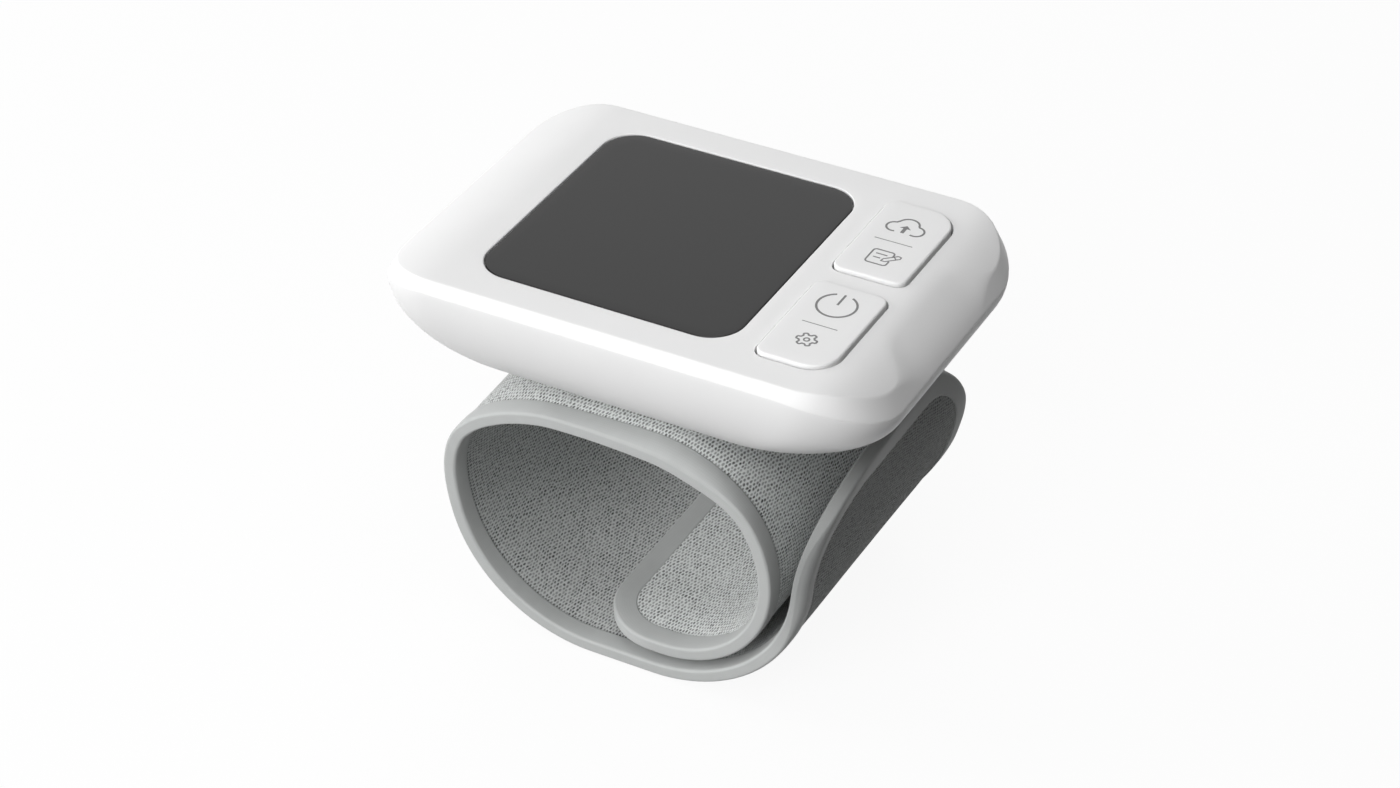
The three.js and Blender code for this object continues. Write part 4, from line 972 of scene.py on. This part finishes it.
# edge line down one side, round the corners of a free end and up the other side, with its inward directions
def endEdge(start, tip, corner, step=0.7, turnCount=30, acrossCount=40):
    half, sign = bandLook.half, 1.0 if tip > start else -1.0
    turn = np.radians(np.linspace(0, 90, turnCount))
    a, c = tip - sign * corner, half - corner
    sideRun = np.linspace(start, a, max(8, int(abs(a - start) / step)))[:-1]
    acrossRun = np.linspace(-c, c, acrossCount)[1:-1]
    front = np.column_stack([sideRun, np.full(len(sideRun), -half)])
    turnOne = np.column_stack([a + sign * corner * np.sin(turn), -c - corner * np.cos(turn)])
    across = np.column_stack([np.full(len(acrossRun), tip), acrossRun])
    mirrored = lambda rows: (rows * [1, -1])[::-1]
    edge = np.concatenate([front, turnOne, across, mirrored(turnOne), mirrored(front)])
    inOne = np.column_stack([-sign * np.sin(turn), np.cos(turn)])
    inFront, inAcross = np.tile([0.0, 1.0], (len(front), 1)), np.tile([-sign, 0.0], (len(across), 1))
    return edge, np.concatenate([inFront, inOne, inAcross, mirrored(inOne), mirrored(inFront)])


# depths of the layers from the band's outer face, and how many points each run of them has
layerLook = Look(
    under=2.6, outerTop=0.08, outerLow=0.85, stiffTop=0.9, stiffLow=1.15, bladderTop=1.2, bladderLow=1.5,
    liningTop=1.55, liningLow=2.3, dip=0.28, endGap=3.0, stiffInset=1.5, bladderInset=3.0, loopCount=260,
    endCount=46, tapeCount=300, innerCount=220)
tailEnd, flapStart, half = bandLook.tailEnd, bandLook.flapStart, bandLook.half
under = layerLook.under
knitHalf = half - under


# distances along a free end, from inside its tape to the loop: one less a cosine, so closest at the tip
def endRun(tip, far):
    reach = abs(far - tip) - under
    share = 1 - np.cos(np.linspace(0, math.pi / 2, layerLook.endCount))
    return tip + math.copysign(1, far - tip) * (under + reach * share)


loopRun = np.linspace(tailEnd, flapStart, layerLook.loopCount)
tailRun, flapRun = endRun(tailLook.tip, tailEnd), endRun(bandEnd, flapStart)
loopHalf = np.full(len(loopRun), knitHalf)
tailHalf = halfAt(tailRun - tailLook.tip - under, knitHalf, tailLook.corner - under)
flapHalf = halfAt(np.abs(flapRun - bandEnd) - under, knitHalf, flapLook.corner - under)


# both knits of one stretch of the band
def clothPair(place, s, width, face=outerKnit):
    k = layerLook
    outer = bandLayer(place + "_outer_knit", s, width, k.outerTop, k.outerLow, face, k.dip)
    lining = bandLayer(place + "_lining_knit", s, width, k.liningTop, k.liningLow, liningKnit, -k.dip)
    return outer, lining


loopOuter, loopLining = clothPair("loop", loopRun, loopHalf)
tailOuter, tailLining = clothPair("tail", tailRun, tailHalf)
flapOuter, flapLining = clothPair("flap", flapRun, flapHalf, flapShadeKnit)
print("cuff cloth made")

loopLine = np.linspace(tailEnd, flapStart, layerLook.tapeCount)
frontEdge = np.column_stack([loopLine, np.full(len(loopLine), -half)])
frontInward = np.tile([0.0, 1.0], (len(loopLine), 1))
frontTape = edgeTape("front_edge_tape", frontEdge, frontInward, tapeGrey)
backTape = edgeTape("back_edge_tape", frontEdge * [1, -1], -frontInward, tapeGrey)
tailTape = edgeTape("tail_edge_tape", *endEdge(tailEnd, tailLook.tip, tailLook.corner), tapeGrey,
                    Look(edgeLook, wide=tailLook.wide))

# the flap's tape has painted shade, darker round its end, and is pared along its front side
flapTapeLook = Look(deep=0.72, pare=0.5, pareRise=14.0, fullTo=20.0, pareFall=10.0)


# the paring rises and falls on the level-ended curve along the tape
def makeFlapTape():
    k = flapTapeLook
    line, inward = endEdge(flapStart, bandEnd, flapLook.corner)
    run = runAlong(line)
    pare = k.pare * smooth(run / k.pareRise) * (1 - smooth((run - k.fullTo) / k.pareFall))
    finish = wovenTape("flap_tape_painted_shade", Look(tapeLook, length=float(run[-1]), deep=k.deep))
    return edgeTape("flap_edge_tape", line, inward, finish, pare=pare)


flapTape = makeFlapTape()

k = layerLook
innerRun = np.linspace(tailEnd + k.endGap, flapStart - k.endGap, k.innerCount)
stiffHalf = np.full(len(innerRun), knitHalf - k.stiffInset)
bladderHalf = np.full(len(innerRun), knitHalf - k.bladderInset)
stiffener = bandLayer("cuff_stiffener_sheet", innerRun, stiffHalf, k.stiffTop, k.stiffLow, innerPlastic)
bladder = bandLayer("air_bladder_pouch", innerRun, bladderHalf, k.bladderTop, k.bladderLow, softRubber)

hookLook = Look(half=13.6, long=12.0, fromTip=5.0, top=2.25, low=2.62, corner=2.0, count=30)
hookRun = bandEnd - hookLook.fromTip - np.linspace(hookLook.long, 0, hookLook.count)
hookEdge = np.minimum(hookRun - hookRun[0], hookRun[-1] - hookRun)
hookHalf = halfAt(hookEdge, hookLook.half, hookLook.corner)
hooks = bandLayer("hook_fastener_patch", hookRun, hookHalf, hookLook.top, hookLook.low, hookGrey, columns=41)

for piece, node in (
        (loopOuter, "cuff_outer_fabric"), (loopLining, "cuff_lining"), (frontTape, "cuff_binding_front"),
        (backTape, "cuff_binding_back"), (stiffener, "cuff_stiffener"), (bladder, "air_bladder")):
    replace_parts(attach(piece, "monitor"), node)
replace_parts(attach(hooks, "cuff_flap"), "hook_patch")

# from and to along the band, measured from each hinge, and the depth of the line between them
bendLook = Look(flap=(-4.0, 3.5), tail=(4.0, -3.5), depth=1.2)


# the pieces of the two free ends have their places baked into their meshes and stand in for the solids they
# replace
def bendAt(pieces, stoodFor):
    for piece, node in zip(pieces, stoodFor):
        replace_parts(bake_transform(piece), node)


bendAt((flapOuter, flapLining, flapTape),
       ("flap_outer_fabric", "flap_lining", "flap_binding"))
bendAt((tailOuter, tailLining, tailTape),
       ("tail_outer_fabric", "tail_lining", "tail_binding"))


cuffPieces = (loopOuter, loopLining, frontTape, backTape, tailTape, flapTape)
print("cuff made:", sum(len(piece.data.polygons) for piece in cuffPieces), "faces")


# solids that stay get their finishes
finishes = dict(
    inner_plastic=innerPlastic, soft_rubber=softRubber, board_green=boardGreen, black_plastic=blackPlastic,
    cell_sleeve=sleeve, steel=steel, lcd_glass=lcdGlass, shell_white=shellWhite, window_dark=windowGlass,
    knit_grey=outerKnit, lining_grey=liningKnit, binding_grey=tapeGrey, hook_fabric=hookGrey)
for solid in nodes.values():
    for slot in solid.material_slots:
        slot.material = finishes[slot.material.name.split(".")[0]]
print("solids dressed")


stageLook = Look(half=3.0, level=-0.0002, rough=0.9, tone=0.85, bounce=0.16, white=0.93, dim=0.02, aim=0.045)


# 1 for what the camera sees, straight or by a reflection, 0 for light that falls on things
def seenByCamera(tree):
    seed = Field(tree)
    camera, glossy, through = (seed.node("ShaderNodeLightPath", {}, {}, name) for name in
                               ("Is Camera Ray", "Is Glossy Ray", "Is Transmission Ray"))
    return (camera + glossy + through).clip()


# pale floor: a matt face that takes the shadow, with plain white mixed in where it is seen
def makeFloor():
    h, z = stageLook.half, stageLook.level
    mesh = bpy.data.meshes.new("floor")
    mesh.from_pydata([(-h, -h, z), (h, -h, z), (h, h, z), (-h, h, z)], [], [(0, 1, 2, 3)])
    floor = bpy.data.objects.new("floor", mesh)
    scene.collection.objects.link(floor)
    made = bpy.data.materials.new("floor_pale")
    made.use_nodes = True
    tree = made.node_tree
    shader = tree.nodes["Principled BSDF"]
    shader.inputs["Roughness"].default_value = stageLook.rough
    shader.inputs["Specular IOR Level"].default_value = 0.0
    seen = seenByCamera(tree)
    tone = seen.blend(grey(stageLook.bounce), grey(stageLook.tone))
    tree.links.new(tone.socket, shader.inputs["Base Color"])
    white = tree.nodes.new("ShaderNodeEmission")
    mix = tree.nodes.new("ShaderNodeMixShader")
    for k, socket in enumerate(((seen * stageLook.white).socket, shader.outputs[0], white.outputs[0])):
        tree.links.new(socket, mix.inputs[k])
    tree.links.new(mix.outputs[0], tree.nodes["Material Output"].inputs[0])
    mesh.materials.append(made)


# white where it is seen, dim for the light that falls on things
def makeWorld():
    world = bpy.data.worlds.new("studio")
    world.use_nodes = True
    scene.world = world
    tree = world.node_tree
    tone = seenByCamera(tree).blend(grey(stageLook.dim), grey(1.0))
    tree.links.new(tone.socket, tree.nodes["Background"].inputs[0])


# round lamp in a direction from a point above the floor, and turned to that point
def makeLamp(name, direction, distance, size, power, inGloss):
    light = bpy.data.lights.new(name, "AREA")
    light.shape, light.size, light.energy = "DISK", size, power
    made = bpy.data.objects.new(name, light)
    made.visible_glossy = inGloss
    aim, towards = Vector((0.0, 0.0, stageLook.aim)), Vector(direction).normalized()
    made.location = aim + towards * distance
    made.rotation_euler = (-towards).to_track_quat("-Z", "Y").to_euler()
    scene.collection.objects.link(made)


# direction, distance, size, power, and whether it shows in reflections: the low lamps and the back one don't
lampLook = Look(
    front=((0.0, -0.75, 0.7), 0.9, 0.5, 3.2, True),
    front_right=((0.15, -0.85, 0.4), 0.9, 0.4, 1.6, False),
    top=((0.2, -0.15, 0.95), 0.9, 0.5, 2.0, True),
    low_front=((-0.35, -0.92, 0.08), 0.8, 0.5, 3.3, False),
    side=((-0.95, -0.15, 0.25), 0.9, 0.55, 4.4, False),
    back=((-0.45, 0.67, 0.6), 0.9, 0.7, 2.7, False))
makeFloor()
makeWorld()
for name, look in lampLook.items():
    makeLamp(name, *look)

# place in millimetres; lens and sensor as a camera has them
cameraLook = Look(
    place=(202.81, -380.46, 342.16), right=(0.88284, 0.46968, -0.0004), up=(-0.27149, 0.51103, 0.81556),
    forward=(-0.38327, 0.71989, -0.57867), lens=85.05, sensor=36.0, near=0.01, far=20.0)
view = bpy.data.cameras.new("camera")
view.sensor_fit, view.sensor_width, view.lens = "HORIZONTAL", cameraLook.sensor, cameraLook.lens
view.clip_start, view.clip_end = cameraLook.near, cameraLook.far
camera = bpy.data.objects.new("camera", view)
axes = Matrix((cameraLook.right, cameraLook.up, tuple(-v for v in cameraLook.forward))).transposed()
camera.matrix_world = Matrix.Translation(Vector(cameraLook.place) * mm) @ axes.to_4x4()
scene.collection.objects.link(camera)
scene.camera = camera
scene.view_settings.view_transform = "Standard"
print("studio made")

bpy.context.view_layer.update()
